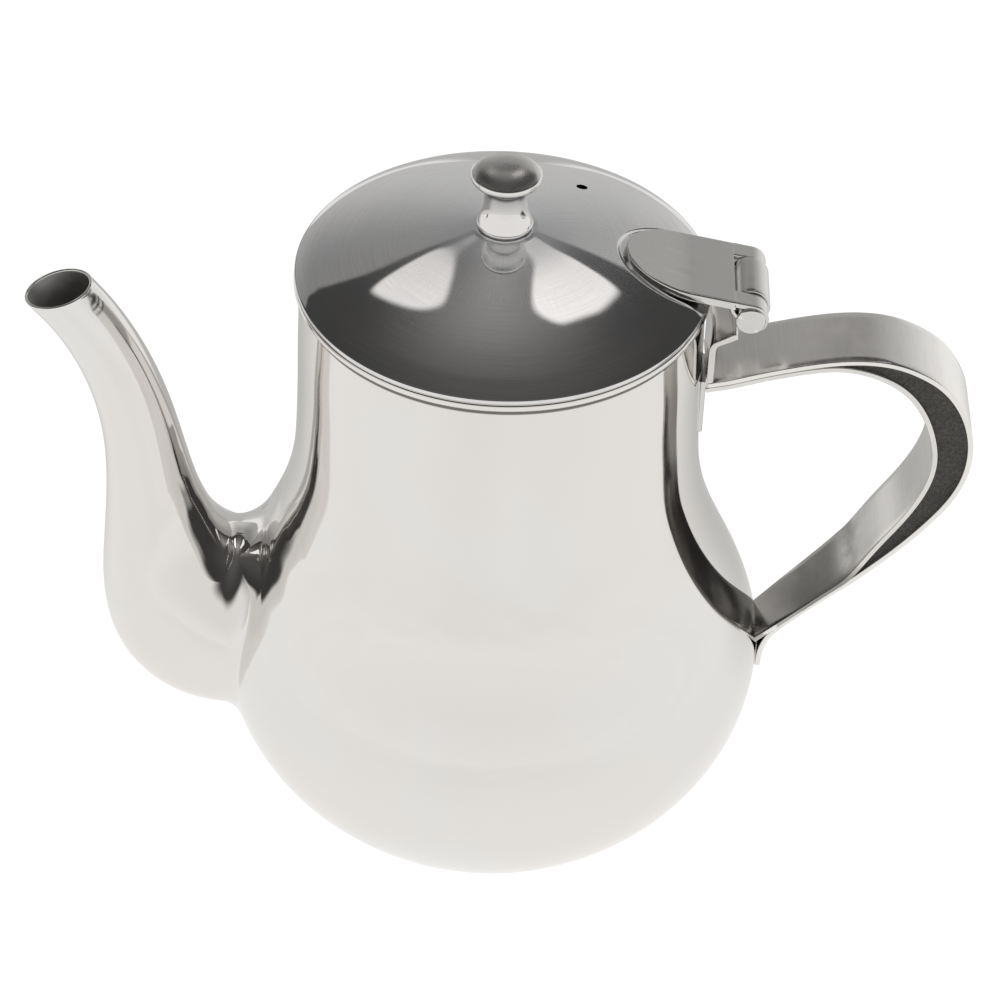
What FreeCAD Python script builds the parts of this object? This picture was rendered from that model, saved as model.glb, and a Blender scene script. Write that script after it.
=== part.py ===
import FreeCAD, Part
import os, math
import Sketcher
from FreeCAD import Vector as V

# Stainless steel teapot with a hinged lid.  Units: millimetres.
# Frame: origin at the centre of the base, +Z up, spout towards -X, handle and hinge
# towards +X.  The pot is symmetrical about the XZ plane, but for the vent and the strap seams.

doc = FreeCAD.newDocument("teapot")

# ------------------------------------------------------------------ driving dimensions
SIZES = {
    "rim_height": 140.0,          # top of the neck above the table
    "sheet_wall": 0.8,            # wall of body and lid
    "bead_radius": 0.95,          # rolled bead round the mouth
    "bead_centre": 42.2,
    "foot_radius": 33.5,          # outer radius of the flat foot ring
    "flange_radius": 32.0,        # inner radius of the turned-in foot ring
    "base_radius": 32.0,
    "base_wall": 0.8,
    "strainer_hole_radius": 1.75,
    "spout_wall": 0.7,
    "lid_radius": 43.0,
    "lid_edge": 0.75,
    "ring_outer": 40.6,           # locating ring under the lid
    "ring_wall": 0.6,
    "ring_low": 134.5,
    "ring_high": 141.6,
    "knob_seat": 152.4,           # height of the lid's flat top
    "knob_bore": 2.05,
    "screw_radius": 2.0,
    "screw_head_radius": 3.8,
    "screw_head_high": 2.3,
    "screw_reach": 10.5,
    "washer_radius": 4.6,
    "washer_bore": 2.2,
    "washer_wall": 0.8,
    "vent_radius": 1.2,
    "pin_x": 50.95,
    "pin_z": 138.3,
    "pin_radius": 2.4,
    "pin_long": 21.0,             # between the heads
    "pin_chamfer": 0.25,
    "pin_head_radius": 3.1,
    "pin_head_high": 0.8,
    "leaf_wide": 21.0,
    "leaf_wall": 1.25,
    "leaf_bore": 2.4,
    "window_wide": 12.2,          # gap in the leaf for the knuckle
    "window_start": 47.6,
    "knuckle_wide": 11.8,
    "knuckle_bore": 2.46,
    "knuckle_wall": 0.85,
    "bracket_wall": 1.5,
    "bracket_wide": 16.6,
    "bracket_low": 117.7,
    "bracket_face": 43.85,        # radius of the leg's outer face
    "plate_wide": 10.0,
    "plate_radius": 43.5,
    "plate_low": 104.0,
    "plate_high": 117.6,
    "strap_wall": 1.2,
    "strap_wide": 17.0,
    "core_wide": 15.4,
    "foot_wide": 12.6,            # width of the straps at their foot
    "taper_high": 66.0,           # height where the straps reach full width
}
sheet = doc.addObject("Spreadsheet::Sheet", "Params")
for row, (alias, number) in enumerate(SIZES.items(), 1):
    sheet.set("A%d" % row, alias)
    sheet.set("B%d" % row, str(number))
    sheet.setAlias("B%d" % row, alias)
doc.recompute()

RIM = SIZES["rim_height"]
WALL = SIZES["sheet_wall"]
SEAT = SIZES["knob_seat"]
PIN_X = SIZES["pin_x"]
PIN_Z = SIZES["pin_z"]


# ------------------------------------------------------------------ curves
# Profile points are (x, z) pairs; a sketch on the XZ plane takes them as they are.
def spline(points):
    curve = Part.BSplineCurve()
    curve.interpolate([V(x, z, 0) for x, z in points])
    return curve


def lines(*points):
    """Straight segments from each point to the next."""
    return [Part.LineSegment(V(*start, 0), V(*end, 0))
            for start, end in zip(points, points[1:])]


def arc(start, middle, end):
    return Part.Arc(V(*start, 0), V(*middle, 0), V(*end, 0))


def offset_points(curve, count, distance):
    """Points at a distance to the left of the curve's travel (right if negative)."""
    first, last = curve.FirstParameter, curve.LastParameter
    points = []
    for i in range(count):
        parameter = first + (last - first) * i / (count - 1)
        point = curve.value(parameter)
        tangent = curve.tangent(parameter)[0]
        points.append((point.x - tangent.y * distance, point.y + tangent.x * distance))
    return points


def around_pin(radius, angle):
    """Point on a circle round the hinge pin, the angle taken from +X towards +Z."""
    return PIN_X + radius * math.cos(angle), PIN_Z + radius * math.sin(angle)


# ------------------------------------------------------------------ document objects
def set_size(obj, prop, size):
    """Set a number, or bind the property to an expression in aliases."""
    if isinstance(size, str):
        words = ["Params." + word if word in SIZES else word for word in size.split()]
        obj.setExpression(prop, " ".join(words))
    else:
        setattr(obj, prop, size)


def add_sketch(body, name, curves, role="XZ_Plane"):
    sketch = body.newObject("Sketcher::SketchObject", name)
    plane = next(f for f in body.Origin.OriginFeatures if f.Role == role)
    sketch.AttachmentSupport = (plane, [""])
    sketch.MapMode = "FlatFace"
    for curve in curves:
        sketch.addGeometry(curve, False)
    return sketch


def add_turn(body, name, sketch):
    turn = body.newObject("PartDesign::Revolution", name)
    turn.Profile = sketch
    turn.ReferenceAxis = (sketch, ["V_Axis"])
    turn.Angle = 360.0
    doc.recompute()


def revolve(name, curves):
    """Body turned about the Z axis from a closed profile."""
    body = doc.addObject("PartDesign::Body", name)
    add_turn(body, name + "_turn", add_sketch(body, name + "_profile", curves))
    return body


def pad_middle(name, curves, width):
    """Body padded evenly to both sides of the XZ plane."""
    body = doc.addObject("PartDesign::Body", name)
    pad = body.newObject("PartDesign::Pad", name + "_pad") if False else None
    sketch = add_sketch(body, name + "_profile", curves)
    pad = body.newObject("PartDesign::Pad", name + "_pad")
    pad.Profile = sketch
    pad.Midplane = True
    set_size(pad, "Length", width)
    doc.recompute()
    return body


def cylinder(name, radius, height, z):
    """Cylinder on the Z axis, standing at height z."""
    result = doc.addObject("Part::Cylinder", name)
    set_size(result, "Radius", radius)
    set_size(result, "Height", height)
    result.Placement = FreeCAD.Placement(V(0, 0, z), FreeCAD.Rotation())
    doc.recompute()
    return result


def pin_cylinder(name, radius, height, y):
    """Cylinder on the hinge pin's axis, running towards -Y from y."""
    result = cylinder(name, radius, height, 0)
    result.Placement = FreeCAD.Placement(V(PIN_X, y, PIN_Z), FreeCAD.Rotation(V(1, 0, 0), 90))
    doc.recompute()
    return result


def box(name, length, width, height, x, z):
    """Box with its low corner at x and z, centred on the XZ plane."""
    result = doc.addObject("Part::Box", name)
    result.Length = length
    result.Height = height
    set_size(result, "Width", width)
    y = -SIZES.get(width, width) / 2
    result.Placement = FreeCAD.Placement(V(x, y, z), FreeCAD.Rotation())
    doc.recompute()
    return result


def combine(kind, name, base, tool):
    """Boolean of two objects; kind is Cut, Common or Fuse."""
    result = doc.addObject("Part::" + kind, name)
    result.Base = base
    result.Tool = tool
    doc.recompute()
    return result


def multi_fuse(name, objects):
    result = doc.addObject("Part::MultiFuse", name)
    result.Shapes = objects
    doc.recompute()
    return result


def dress(kind, name, base, size, is_chosen):
    """Chamfer or Fillet on the edges that is_chosen accepts."""
    result = doc.addObject("Part::" + kind, name)
    result.Base = base
    result.Edges = [(number, size, size)
                    for number, edge in enumerate(base.Shape.Edges, 1) if is_chosen(edge)]
    doc.recompute()
    return result


def feature(name, shape):
    result = doc.addObject("Part::Feature", name)
    result.Shape = shape
    return result


def largest(shape):
    return max(shape.Solids, key=lambda solid: solid.Volume)


# ------------------------------------------------------------------ pot
BELLY_RADIUS, BELLY_Z = 59.5, 41.6
LOWER_HALF_HEIGHT, LOWER_POWER = 50.9, 1.94      # superellipse below the belly


def lower_radius(z):
    drop = (BELLY_Z - z) / LOWER_HALF_HEIGHT
    return BELLY_RADIUS * (1 - drop ** LOWER_POWER) ** (1 / LOWER_POWER)


# outside of the pot from the foot to the bead: (radius, z)
POT_OUTLINE = [(SIZES["foot_radius"], 0.0), (35.9, 1.05)]
POT_OUTLINE += [(lower_radius(z), z) for z in (3.2, 7, 12, 18, 24.5, 31, 36.5)]
POT_OUTLINE += [
    (BELLY_RADIUS, BELLY_Z), (58.9, 47.5), (57.0, 54.0), (54.3, 60.4), (51.3, 66.9),
    (48.6, 73.3), (46.3, 79.8), (44.6, 86.3), (43.5, 92.7), (42.95, 99.2), (42.7, 105.6),
    (42.5, 114.2), (42.4, 122.8), (42.2, 131.4), (42.1, 137.9)]
STRAINER_Z = 47.0
STRAINER_PITCH = 6.0         # between the rings of holes
STRAINER_DEPTH = 75.0


def make_body_shell():
    outer = spline(POT_OUTLINE)
    inner = [p for p in offset_points(outer, 44, WALL) if p[1] > WALL + 0.35]
    # the bead runs from the outer wall over the top to the inner wall
    bead = SIZES["bead_radius"]
    bead_x = SIZES["bead_centre"]
    bead_z = RIM - 0.20 - bead
    bead_top = (bead_x - 0.1, bead_z + bead)
    flange = SIZES["flange_radius"]
    profile = [
        outer,
        arc(POT_OUTLINE[-1], (bead_x + bead, bead_z), bead_top),
        arc(bead_top, (bead_x - 0.69, bead_z + 0.08), inner[-1]),
        spline(inner[::-1]),
    ]
    profile += lines(inner[0], (inner[0][0] - 0.6, WALL), (flange, WALL), (flange, 0.0),
                     POT_OUTLINE[0])
    shell = revolve("body_shell", profile)
    cut_strainer(shell)
    return shell


def cut_strainer(shell):
    """Rosette of round holes through the wall behind the spout."""
    centres = [(0.0, STRAINER_Z)]
    for ring, count, start in ((1, 6, 30), (2, 12, 0)):
        radius = ring * STRAINER_PITCH
        for k in range(count):
            angle = math.radians(360 / count * k + start)
            centres.append((radius * math.cos(angle), STRAINER_Z + radius * math.sin(angle)))
    hole = SIZES["strainer_hole_radius"]
    circles = [Part.Circle(V(y, z, 0), V(0, 0, 1), hole) for y, z in centres]
    sketch = add_sketch(shell, "strainer_holes", circles, "YZ_Plane")
    for i in range(len(circles)):
        number = sketch.addConstraint(Sketcher.Constraint("Radius", i, hole))
        sketch.renameConstraint(number, "hole%d" % i)
        sketch.setExpression("Constraints.hole%d" % i, "Params.strainer_hole_radius")
    doc.recompute()
    pocket = shell.newObject("PartDesign::Pocket", "strainer_cut")
    pocket.Profile = sketch
    pocket.Length = STRAINER_DEPTH
    doc.recompute()
    # the middle hole must have opened the wall on the spout's side
    if shell.Shape.isInside(V(-59.1, 0, STRAINER_Z), 1e-3, True):
        raise RuntimeError("strainer holes were not cut on the spout's side")


def make_envelope():
    """Solid pot, used only to trim the pieces that lie against it."""
    neck = POT_OUTLINE[-1]
    return revolve("pot_envelope", [spline(POT_OUTLINE)] + lines(
        neck, (neck[0], RIM), (0.0, RIM), (0.0, 0.0), POT_OUTLINE[0]))


def make_base_disc():
    wall = SIZES["base_wall"]
    blank = cylinder("base_disc_blank", "base_radius", "base_wall", 0)
    return dress("Chamfer", "base_disc", blank, 0.2,
                 lambda edge: abs(edge.BoundBox.ZMin - wall) < 1e-3
                 and abs(edge.BoundBox.ZMax - wall) < 1e-3)


# ------------------------------------------------------------------ spout
# Oval cross-sections from the mouth down into the pot, square to the XZ plane:
# ((x, z) of the end away from the pot, (x, z) of the end towards it, half width in Y)
SPOUT_SECTIONS = [
    ((-102.55, 133.85), (-91.45, 142.45), 7.00),
    ((-100.81, 131.64), (-89.86, 140.13), 6.92),
    ((-98.52, 128.86), (-87.74, 137.22), 6.82),
    ((-96.23, 126.09), (-85.62, 134.31), 6.74),
    ((-93.26, 121.88), (-81.90, 129.38), 6.81),
    ((-90.75, 117.39), (-78.47, 123.97), 6.97),
    ((-88.66, 112.67), (-75.53, 118.33), 7.15),
    ((-86.98, 107.77), (-73.05, 112.53), 7.38),
    ((-85.70, 102.73), (-70.97, 106.62), 7.64),
    ((-84.83, 97.62), (-69.25, 100.65), 7.96),
    ((-84.33, 92.42), (-67.85, 94.77), 8.38),
    ((-84.16, 87.14), (-66.60, 89.13), 8.92),
    ((-84.24, 81.78), (-65.34, 83.79), 9.60),
    ((-84.52, 76.36), (-63.96, 78.87), 10.5),
    ((-84.93, 70.88), (-62.37, 74.50), 11.8),
    ((-85.39, 65.35), (-60.58, 70.85), 13.3),
    ((-85.83, 59.43), (-58.68, 68.03), 15.1),
    ((-85.89, 52.29), (-56.83, 66.02), 17.0),
    ((-84.07, 41.89), (-55.00, 64.90), 18.9),
    ((-79.08, 33.05), (-53.20, 64.30), 20.1),
    ((-69.56, 25.91), (-51.00, 64.00), 20.8),
    ((-58.67, 23.45), (-48.50, 64.00), 20.9),
    ((-46.00, 23.00), (-44.50, 64.00), 20.9),
]
RING_POINTS = 24
# the mouth is cut obliquely through these two points
MOUTH_TIP, MOUTH_BACK = V(-99.4, 0, 130.1), V(-84.9, 0, 133.9)


def spout_ring(section, inset):
    """Closed spline through points on an oval.

    Every section is built alike, so the loft stays smooth from round to oval.
    """
    (left_x, left_z), (right_x, right_z), half_width = section
    half_length = math.hypot(left_x - right_x, left_z - right_z) / 2 - inset
    half_width -= inset
    centre = V((left_x + right_x) / 2, 0, (left_z + right_z) / 2)
    axis = V(left_x - right_x, 0, left_z - right_z)
    axis.normalize()
    points = []
    for k in range(RING_POINTS):
        angle = math.pi + 2 * math.pi * k / RING_POINTS
        points.append(centre + axis * (half_length * math.cos(angle))
                      + V(0, 1, 0) * (half_width * math.sin(angle)))
    points.append(points[0])
    tangent = V(0, -half_width, 0)
    curve = Part.BSplineCurve()
    curve.interpolate(points, InitialTangent=tangent, FinalTangent=tangent)
    return Part.Wire([curve.toShape()])


def spout_loft(inset):
    return Part.makeLoft([spout_ring(s, inset) for s in SPOUT_SECTIONS], True, False)


def belly_collar():
    """Belly of the pot as a solid, which trims the root of the spout."""
    belly = [V(x, 0, z) for x, z in POT_OUTLINE if 10 < z < 95]
    curve = Part.BSplineCurve()
    curve.interpolate(belly)
    low, high = belly[0], belly[-1]
    closing = Part.makePolygon([high, V(0, 0, high.z), V(0, 0, low.z), low])
    wire = Part.Wire([curve.toShape()] + closing.Edges)
    return Part.Face(wire).revolve(V(0, 0, 0), V(0, 0, 1), 360)


def make_spout():
    along_mouth = MOUTH_BACK - MOUTH_TIP
    along_mouth.normalize()
    above_mouth = Part.makeBox(80, 80, 40)
    above_mouth.Placement = FreeCAD.Placement(MOUTH_TIP - along_mouth * 30 - V(0, 40, 0),
                                              FreeCAD.Rotation(V(1, 0, 0), along_mouth))
    outside = spout_loft(0.0)
    inside = spout_loft(SIZES["spout_wall"])
    return feature("spout", outside.cut([inside, above_mouth, belly_collar()]))


# ------------------------------------------------------------------ lid
# top of the lid from its edge to the knob's seat: (radius, z)
LID_TOP = [
    (SIZES["lid_radius"], RIM + SIZES["lid_edge"]), (42.0, 141.42), (40.5, 142.27),
    (37.3, 143.62), (31.0, 145.82), (25.0, 147.63), (19.5, 149.15), (14.0, 150.57),
    (10.0, 151.54), (6.5, SEAT)]
SCREW_CLEARANCE = 0.25
VENT_X, VENT_Y = 15.8, 22.1


def make_lid_turned():
    top = spline(LID_TOP)
    under = [p for p in offset_points(top, 20, WALL) if p[0] < 42.1]
    under[-1] = (6.35, SEAT - WALL)
    bore = SIZES["screw_radius"] + SCREW_CLEARANCE
    edge = SIZES["lid_radius"]
    start = under[0][0]
    profile = [top]
    profile += lines(LID_TOP[-1], (bore, SEAT), (bore, SEAT - WALL), under[-1])
    profile.append(spline(under[::-1]))
    profile += lines(under[0], (start + 0.05, RIM + 0.1), (start + 0.15, RIM),
                     (edge - 0.15, RIM), (edge, RIM + 0.15), LID_TOP[0])
    return revolve("lid_turned", profile)


def make_lid_shell(lid_turned):
    vent = cylinder("vent_drill", "vent_radius", 30, 135)
    vent.Placement.Base = V(VENT_X, VENT_Y, 135)
    return combine("Cut", "lid_shell", lid_turned, vent)


def make_locating_ring(lid_turned):
    outer, wall = SIZES["ring_outer"], SIZES["ring_wall"]
    low, high = SIZES["ring_low"], SIZES["ring_high"]
    body = doc.addObject("PartDesign::Body", "ring_blank")
    start = (outer - wall, low)
    sketch = add_sketch(body, "ring_profile", lines(
        start, (outer, low), (outer, high), (outer - wall, high), start))
    for i in range(4):
        sketch.addConstraint(Sketcher.Constraint("Coincident", i, 2, (i + 1) % 4, 1))
    for i, direction in enumerate(("Horizontal", "Vertical", "Horizontal", "Vertical")):
        sketch.addConstraint(Sketcher.Constraint(direction, i))
    # (name, kind, first line and end, second line and end, alias); -1 is the X axis
    for name, kind, ends, alias in (
            ("outer", "DistanceX", (-1, 1, 1, 1), "ring_outer"),
            ("wall", "DistanceX", (0, 1, 0, 2), "ring_wall"),
            ("low", "DistanceY", (-1, 1, 0, 1), "ring_low"),
            ("high", "DistanceY", (-1, 1, 2, 1), "ring_high")):
        number = sketch.addConstraint(Sketcher.Constraint(kind, *ends, SIZES[alias]))
        sketch.renameConstraint(number, name)
        sketch.setExpression("Constraints." + name, "Params." + alias)
    add_turn(body, "ring_turn", sketch)
    return combine("Cut", "lid_locating_ring", body, lid_turned)


# ------------------------------------------------------------------ knob and its screw
# outside of the knob: (radius, height above the seat)
KNOB_FOOT = [(5.62, 0), (5.62, 0.45), (5.80, 0.60), (5.80, 1.03), (5.68, 1.15)]
KNOB_NECK = [
    (5.68, 1.15), (5.50, 1.75), (5.22, 2.6), (4.86, 3.7), (4.58, 5.0), (4.42, 6.5),
    (4.42, 8.0), (4.66, 9.4), (5.20, 10.5), (6.05, 11.3), (6.85, 11.7)]
KNOB_EDGE = [(6.85, 11.7), (7.20, 11.95), (7.25, 12.30), (7.25, 13.00), (6.95, 13.35)]
KNOB_DOME = [(6.95, 13.35), (6.2, 14.0), (4.6, 14.8), (2.5, 15.35), (0.0, 15.55)]
WASHER_Z = SEAT - WALL - SIZES["washer_wall"]    # underside of the washer
RECESS_LONG, RECESS_WIDE, RECESS_DEEP = 4.2, 0.8, 1.3


def make_knob():
    def on_seat(points):
        return [(x, SEAT + z) for x, z in points]

    bore = SIZES["knob_bore"]
    profile = lines(*on_seat([(bore, 0)] + KNOB_FOOT))
    profile.append(spline(on_seat(KNOB_NECK)))
    profile += lines(*on_seat(KNOB_EDGE))
    profile.append(spline(on_seat(KNOB_DOME)))
    profile += lines(*on_seat([KNOB_DOME[-1], (0.0, 11.4), (bore, 10.4), (bore, 0)]))
    return revolve("knob", profile)


def make_washer():
    blank = cylinder("washer_blank", "washer_radius", "washer_wall", WASHER_Z)
    hole = cylinder("washer_hole", "washer_bore", 5, WASHER_Z - 2)
    return combine("Cut", "knob_washer", blank, hole)


def make_screw():
    """Pan-head screw with a cross recess, its head under the washer."""
    head_z = WASHER_Z - SIZES["screw_head_high"]
    shank = cylinder("screw_shank", "screw_radius", "screw_reach", WASHER_Z)
    head = cylinder("screw_head", "screw_head_radius", "screw_head_high", head_z)
    rounded = dress("Fillet", "screw_head_round", head, 1.4,
                    lambda edge: abs(edge.BoundBox.ZMax - head_z) < 1e-3)
    solid = combine("Fuse", "screw_solid", rounded, shank)
    slot_x = box("recess_a", RECESS_LONG, RECESS_WIDE, RECESS_DEEP, -RECESS_LONG / 2, head_z)
    slot_y = box("recess_b", RECESS_WIDE, RECESS_LONG, RECESS_DEEP, -RECESS_WIDE / 2, head_z)
    recess = combine("Fuse", "recess", slot_x, slot_y)
    return combine("Cut", "knob_screw", solid, recess)


# ------------------------------------------------------------------ hinge
def make_hinge_pin():
    """Plain shank with a wider round head on each end."""
    half_long = SIZES["pin_long"] / 2
    end = half_long + SIZES["pin_head_high"]
    blank = multi_fuse("pin_blank", [
        pin_cylinder("pin_shank", "pin_radius", "pin_long", half_long),
        pin_cylinder("pin_head_far", "pin_head_radius", "pin_head_high", end),
        pin_cylinder("pin_head_near", "pin_head_radius", "pin_head_high", -half_long),
    ])
    return dress("Chamfer", "hinge_pin", blank, SIZES["pin_chamfer"],
                 lambda edge: edge.BoundBox.YLength < 1e-3
                 and abs(edge.CenterOfMass.y) > end - 0.01)


RUN_SLOPE = 0.20             # leaf over the rim, falling towards the pin
TONGUE_SLOPE = 0.30          # leaf on the dome
LEAF_BEND_X, LEAF_TIP_X = 37.3, 25.0
CURL_END = math.radians(-48.0)
TONGUE_X, TONGUE_LONG = 38.0, 13.0               # half ellipse that ends the tongue


def leaf_profile():
    """Sloped tongue, a flatter run over the rim and a curl over the pin."""
    wall, inner = SIZES["leaf_wall"], SIZES["leaf_bore"]
    outer = inner + wall
    curl_start = math.pi / 2 - math.atan(RUN_SLOPE)
    curl_middle = (curl_start + CURL_END) / 2
    run_end = around_pin(outer, curl_start)
    run_end_low = around_pin(inner, curl_start)
    bend = (LEAF_BEND_X, run_end[1] + RUN_SLOPE * (run_end[0] - LEAF_BEND_X))
    tip = (LEAF_TIP_X, bend[1] + TONGUE_SLOPE * (bend[0] - LEAF_TIP_X))
    tilt = math.atan(TONGUE_SLOPE)
    tip_low = (tip[0] - wall * math.sin(tilt), tip[1] - wall * math.cos(tilt))
    # the two lower faces meet where their lines z = level - slope * x cross
    run_level = run_end_low[1] + RUN_SLOPE * run_end_low[0]
    tongue_level = tip_low[1] + TONGUE_SLOPE * tip_low[0]
    bend_x = (tongue_level - run_level) / (TONGUE_SLOPE - RUN_SLOPE)
    bend_low = (bend_x, run_level - RUN_SLOPE * bend_x)
    outer_end, inner_end = around_pin(outer, CURL_END), around_pin(inner, CURL_END)
    return (lines(tip, bend, run_end)
            + [arc(run_end, around_pin(outer, curl_middle), outer_end)]
            + lines(outer_end, inner_end)
            + [arc(inner_end, around_pin(inner, curl_middle), run_end_low)]
            + lines(run_end_low, bend_low, tip_low, tip))


def make_lid_leaf(lid_turned):
    blank = pad_middle("leaf_blank", leaf_profile(), "leaf_wide")
    # plan of the leaf: half an ellipse, then full width
    half = SIZES["leaf_wide"] / 2
    ellipse = Part.Ellipse(V(TONGUE_X, 0, 0), TONGUE_LONG, half)
    tip = Part.Arc(ellipse, math.pi / 2, 3 * math.pi / 2)
    sides = Part.makePolygon([V(TONGUE_X, -half, 0), V(60, -half, 0), V(60, half, 0),
                              V(TONGUE_X, half, 0)])
    plan = Part.Face(Part.Wire([tip.toShape()] + sides.Edges))
    outline = feature("leaf_outline", plan.extrude(V(0, 0, 40)))
    outline.Placement = FreeCAD.Placement(V(0, 0, 120), FreeCAD.Rotation())
    trimmed = combine("Common", "leaf_trimmed", blank, outline)
    window = box("leaf_window", 20, "window_wide", 40, SIZES["window_start"], 120)
    windowed = combine("Cut", "leaf_windowed", trimmed, window)
    return combine("Cut", "lid_hinge_leaf", windowed, lid_turned)


ARM_SLOPE = 0.60             # bracket arm, rising towards the pin
ARM_TILT = math.atan(ARM_SLOPE)
ARM_BEND_RADIUS = 2.4        # of the arm's lower face
ARM_END_X = 48.4             # the wide arm stops here
TONGUE_LAP = 1.5             # overlap of the narrow tongue with the arm
LEG_LAP = 0.6                # overlap of the arm with the round leg
ARM_FOOT = around_pin(SIZES["knuckle_bore"] + SIZES["knuckle_wall"], ARM_TILT - math.pi / 2)


def arm_low(x):
    """Point on the arm's lower face, which touches the knuckle at ARM_FOOT."""
    return x, ARM_FOOT[1] - ARM_SLOPE * (ARM_FOOT[0] - x)


def arm_high(point):
    """Point on the upper face square across from one on the lower face."""
    wall = SIZES["bracket_wall"]
    return point[0] - wall * math.sin(ARM_TILT), point[1] + wall * math.cos(ARM_TILT)


def bend_points(corner, radius):
    """Start, middle and end of the arc that rounds the corner from leg to arm."""
    down = (0.0, -1.0)
    along = (math.cos(ARM_TILT), math.sin(ARM_TILT))
    half_angle = math.acos(down[0] * along[0] + down[1] * along[1]) / 2
    reach = radius / math.tan(half_angle)
    to_middle = radius / math.sin(half_angle) - radius
    bisector = (down[0] + along[0], down[1] + along[1])
    length = math.hypot(*bisector)

    def step(direction, distance):
        return corner[0] + direction[0] * distance, corner[1] + direction[1] * distance

    return step(down, reach), step(bisector, to_middle / length), step(along, reach)


def make_bracket(envelope):
    """Leg on the neck, bend, rising arm and the knuckle round the pin."""
    wall, face = SIZES["bracket_wall"], SIZES["bracket_face"]
    back = face - wall
    upper_corner = (back, arm_low(back)[1] + wall / math.cos(ARM_TILT))
    low_bend = bend_points(arm_low(face), ARM_BEND_RADIUS)
    high_bend = bend_points(upper_corner, ARM_BEND_RADIUS + wall)
    leg_top = min(low_bend[0][1], high_bend[0][1])
    arm_start = leg_top - LEG_LAP
    arm_end = arm_low(ARM_END_X)
    arm = pad_middle(
        "bracket_arm",
        lines((face, arm_start), low_bend[0])
        + [arc(*low_bend)]
        + lines(low_bend[2], arm_end, arm_high(arm_end), high_bend[2])
        + [arc(*high_bend[::-1])]
        + lines(high_bend[0], (back, arm_start), (face, arm_start)),
        "bracket_wide")

    # the leg follows the round of the neck
    leg_low = SIZES["bracket_low"]
    leg_round = cylinder("leg_round", "bracket_face", leg_top - leg_low, leg_low)
    leg_hollow = cylinder("leg_hollow", "bracket_face - bracket_wall", leg_top - leg_low,
                          leg_low)
    leg_window = box("leg_window", 30, "bracket_wide", 40, 30, 100)
    leg_ring = combine("Cut", "leg_ring", leg_round, leg_hollow)
    leg = combine("Common", "bracket_leg", leg_ring, leg_window)

    # narrow tongue that runs from the arm into the knuckle
    start = arm_low(ARM_END_X - TONGUE_LAP)
    tongue = pad_middle("bracket_tongue",
                        lines(start, ARM_FOOT, (PIN_X, PIN_Z), arm_high(start), start),
                        "knuckle_wide")
    knuckle = pin_cylinder("knuckle_barrel", "knuckle_bore + knuckle_wall", "knuckle_wide",
                           SIZES["knuckle_wide"] / 2)
    drill = pin_cylinder("knuckle_drill", "knuckle_bore", 40, 20)
    arm_and_tongue = combine("Fuse", "bracket_f1", arm, tongue)
    solid = multi_fuse("bracket_f2", [arm_and_tongue, knuckle, leg])
    bored = combine("Cut", "bracket_bored", solid, drill)
    return combine("Cut", "hinge_bracket", bored, envelope)


def make_backing_plate(envelope):
    disc = cylinder("plate_round", "plate_radius", "plate_high - plate_low",
                    SIZES["plate_low"])
    window = box("plate_window", 20, "plate_wide", 40, 35, 90)
    blank = combine("Common", "plate_blank", disc, window)
    return combine("Cut", "neck_backing_plate", blank, envelope)


# ------------------------------------------------------------------ handle
# faces of the grip from the bracket over the top and down to the belly: (x, z)
GRIP_OUTSIDE = [
    (42.9, 119.48), (48.0, 120.95), (53.0, 122.65), (58.5, 124.3), (64.5, 125.85),
    (70.5, 126.95), (76.5, 127.3), (82.5, 126.5), (88.0, 124.3), (92.6, 121.2),
    (96.6, 116.4), (99.3, 110.5), (100.5, 103.8), (99.9, 96.6), (97.3, 89.6),
    (93.3, 83.2), (88.5, 76.9), (83.3, 71.0), (78.0, 65.4), (72.9, 60.0),
    (68.2, 54.9), (64.4, 50.4), (62.0, 46.4), (61.0, 42.6), (60.7, 38.6)]
GRIP_INSIDE = [
    (42.9, 117.09), (48.6, 118.7), (53.7, 120.4), (59.1, 122.0), (65.0, 123.45),
    (70.5, 124.15), (75.0, 123.6), (79.6, 122.0), (83.9, 119.3), (87.3, 115.5),
    (89.8, 110.8), (91.4, 105.8), (92.1, 100.6), (91.4, 95.0), (89.4, 89.4),
    (86.2, 83.3), (82.9, 77.9), (79.9, 72.6), (76.9, 67.5), (73.0, 62.8),
    (68.7, 58.0), (64.0, 52.8), (60.2, 48.6), (56.5, 44.7)]
STRAP_FOOT_Z = 47.0          # the taper ends here
TAPER_MARGIN = 1.0           # room beside the full width of the strap


def band(name, points, facing, width):
    """Pad of the strip between two splines that travel the same way."""
    profile = [spline(points)] + lines(points[-1], facing[-1])
    profile += [spline(facing[::-1])] + lines(facing[0], points[0])
    return pad_middle(name, profile, width)


def strap_blank(name, points, side):
    """Strap with its wall to the left (side 1) or right (side -1) of its face."""
    wall = side * SIZES["strap_wall"]
    facing = offset_points(spline(points), 46, wall)
    facing[0] = (points[0][0], points[0][1] + wall * 1.04)
    return band(name, points, facing, "strap_wide")


def make_taper():
    """Solid in which both straps narrow towards their foot on the belly."""
    half_strap, foot = SIZES["strap_wide"] / 2, SIZES["foot_wide"] / 2
    full = half_strap + TAPER_MARGIN
    slope = (half_strap - foot) / (SIZES["taper_high"] - STRAP_FOOT_Z)
    full_z = STRAP_FOOT_Z + (full - foot) / slope
    right = [(full, 150.0), (full, full_z), (foot, STRAP_FOOT_Z), (foot, 20.0)]
    plan = right + [(-y, z) for y, z in right[::-1]] + right[:1]
    wire = Part.makePolygon([V(30, y, z) for y, z in plan])
    return feature("strap_taper", Part.Face(wire).extrude(V(90, 0, 0)))


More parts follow.
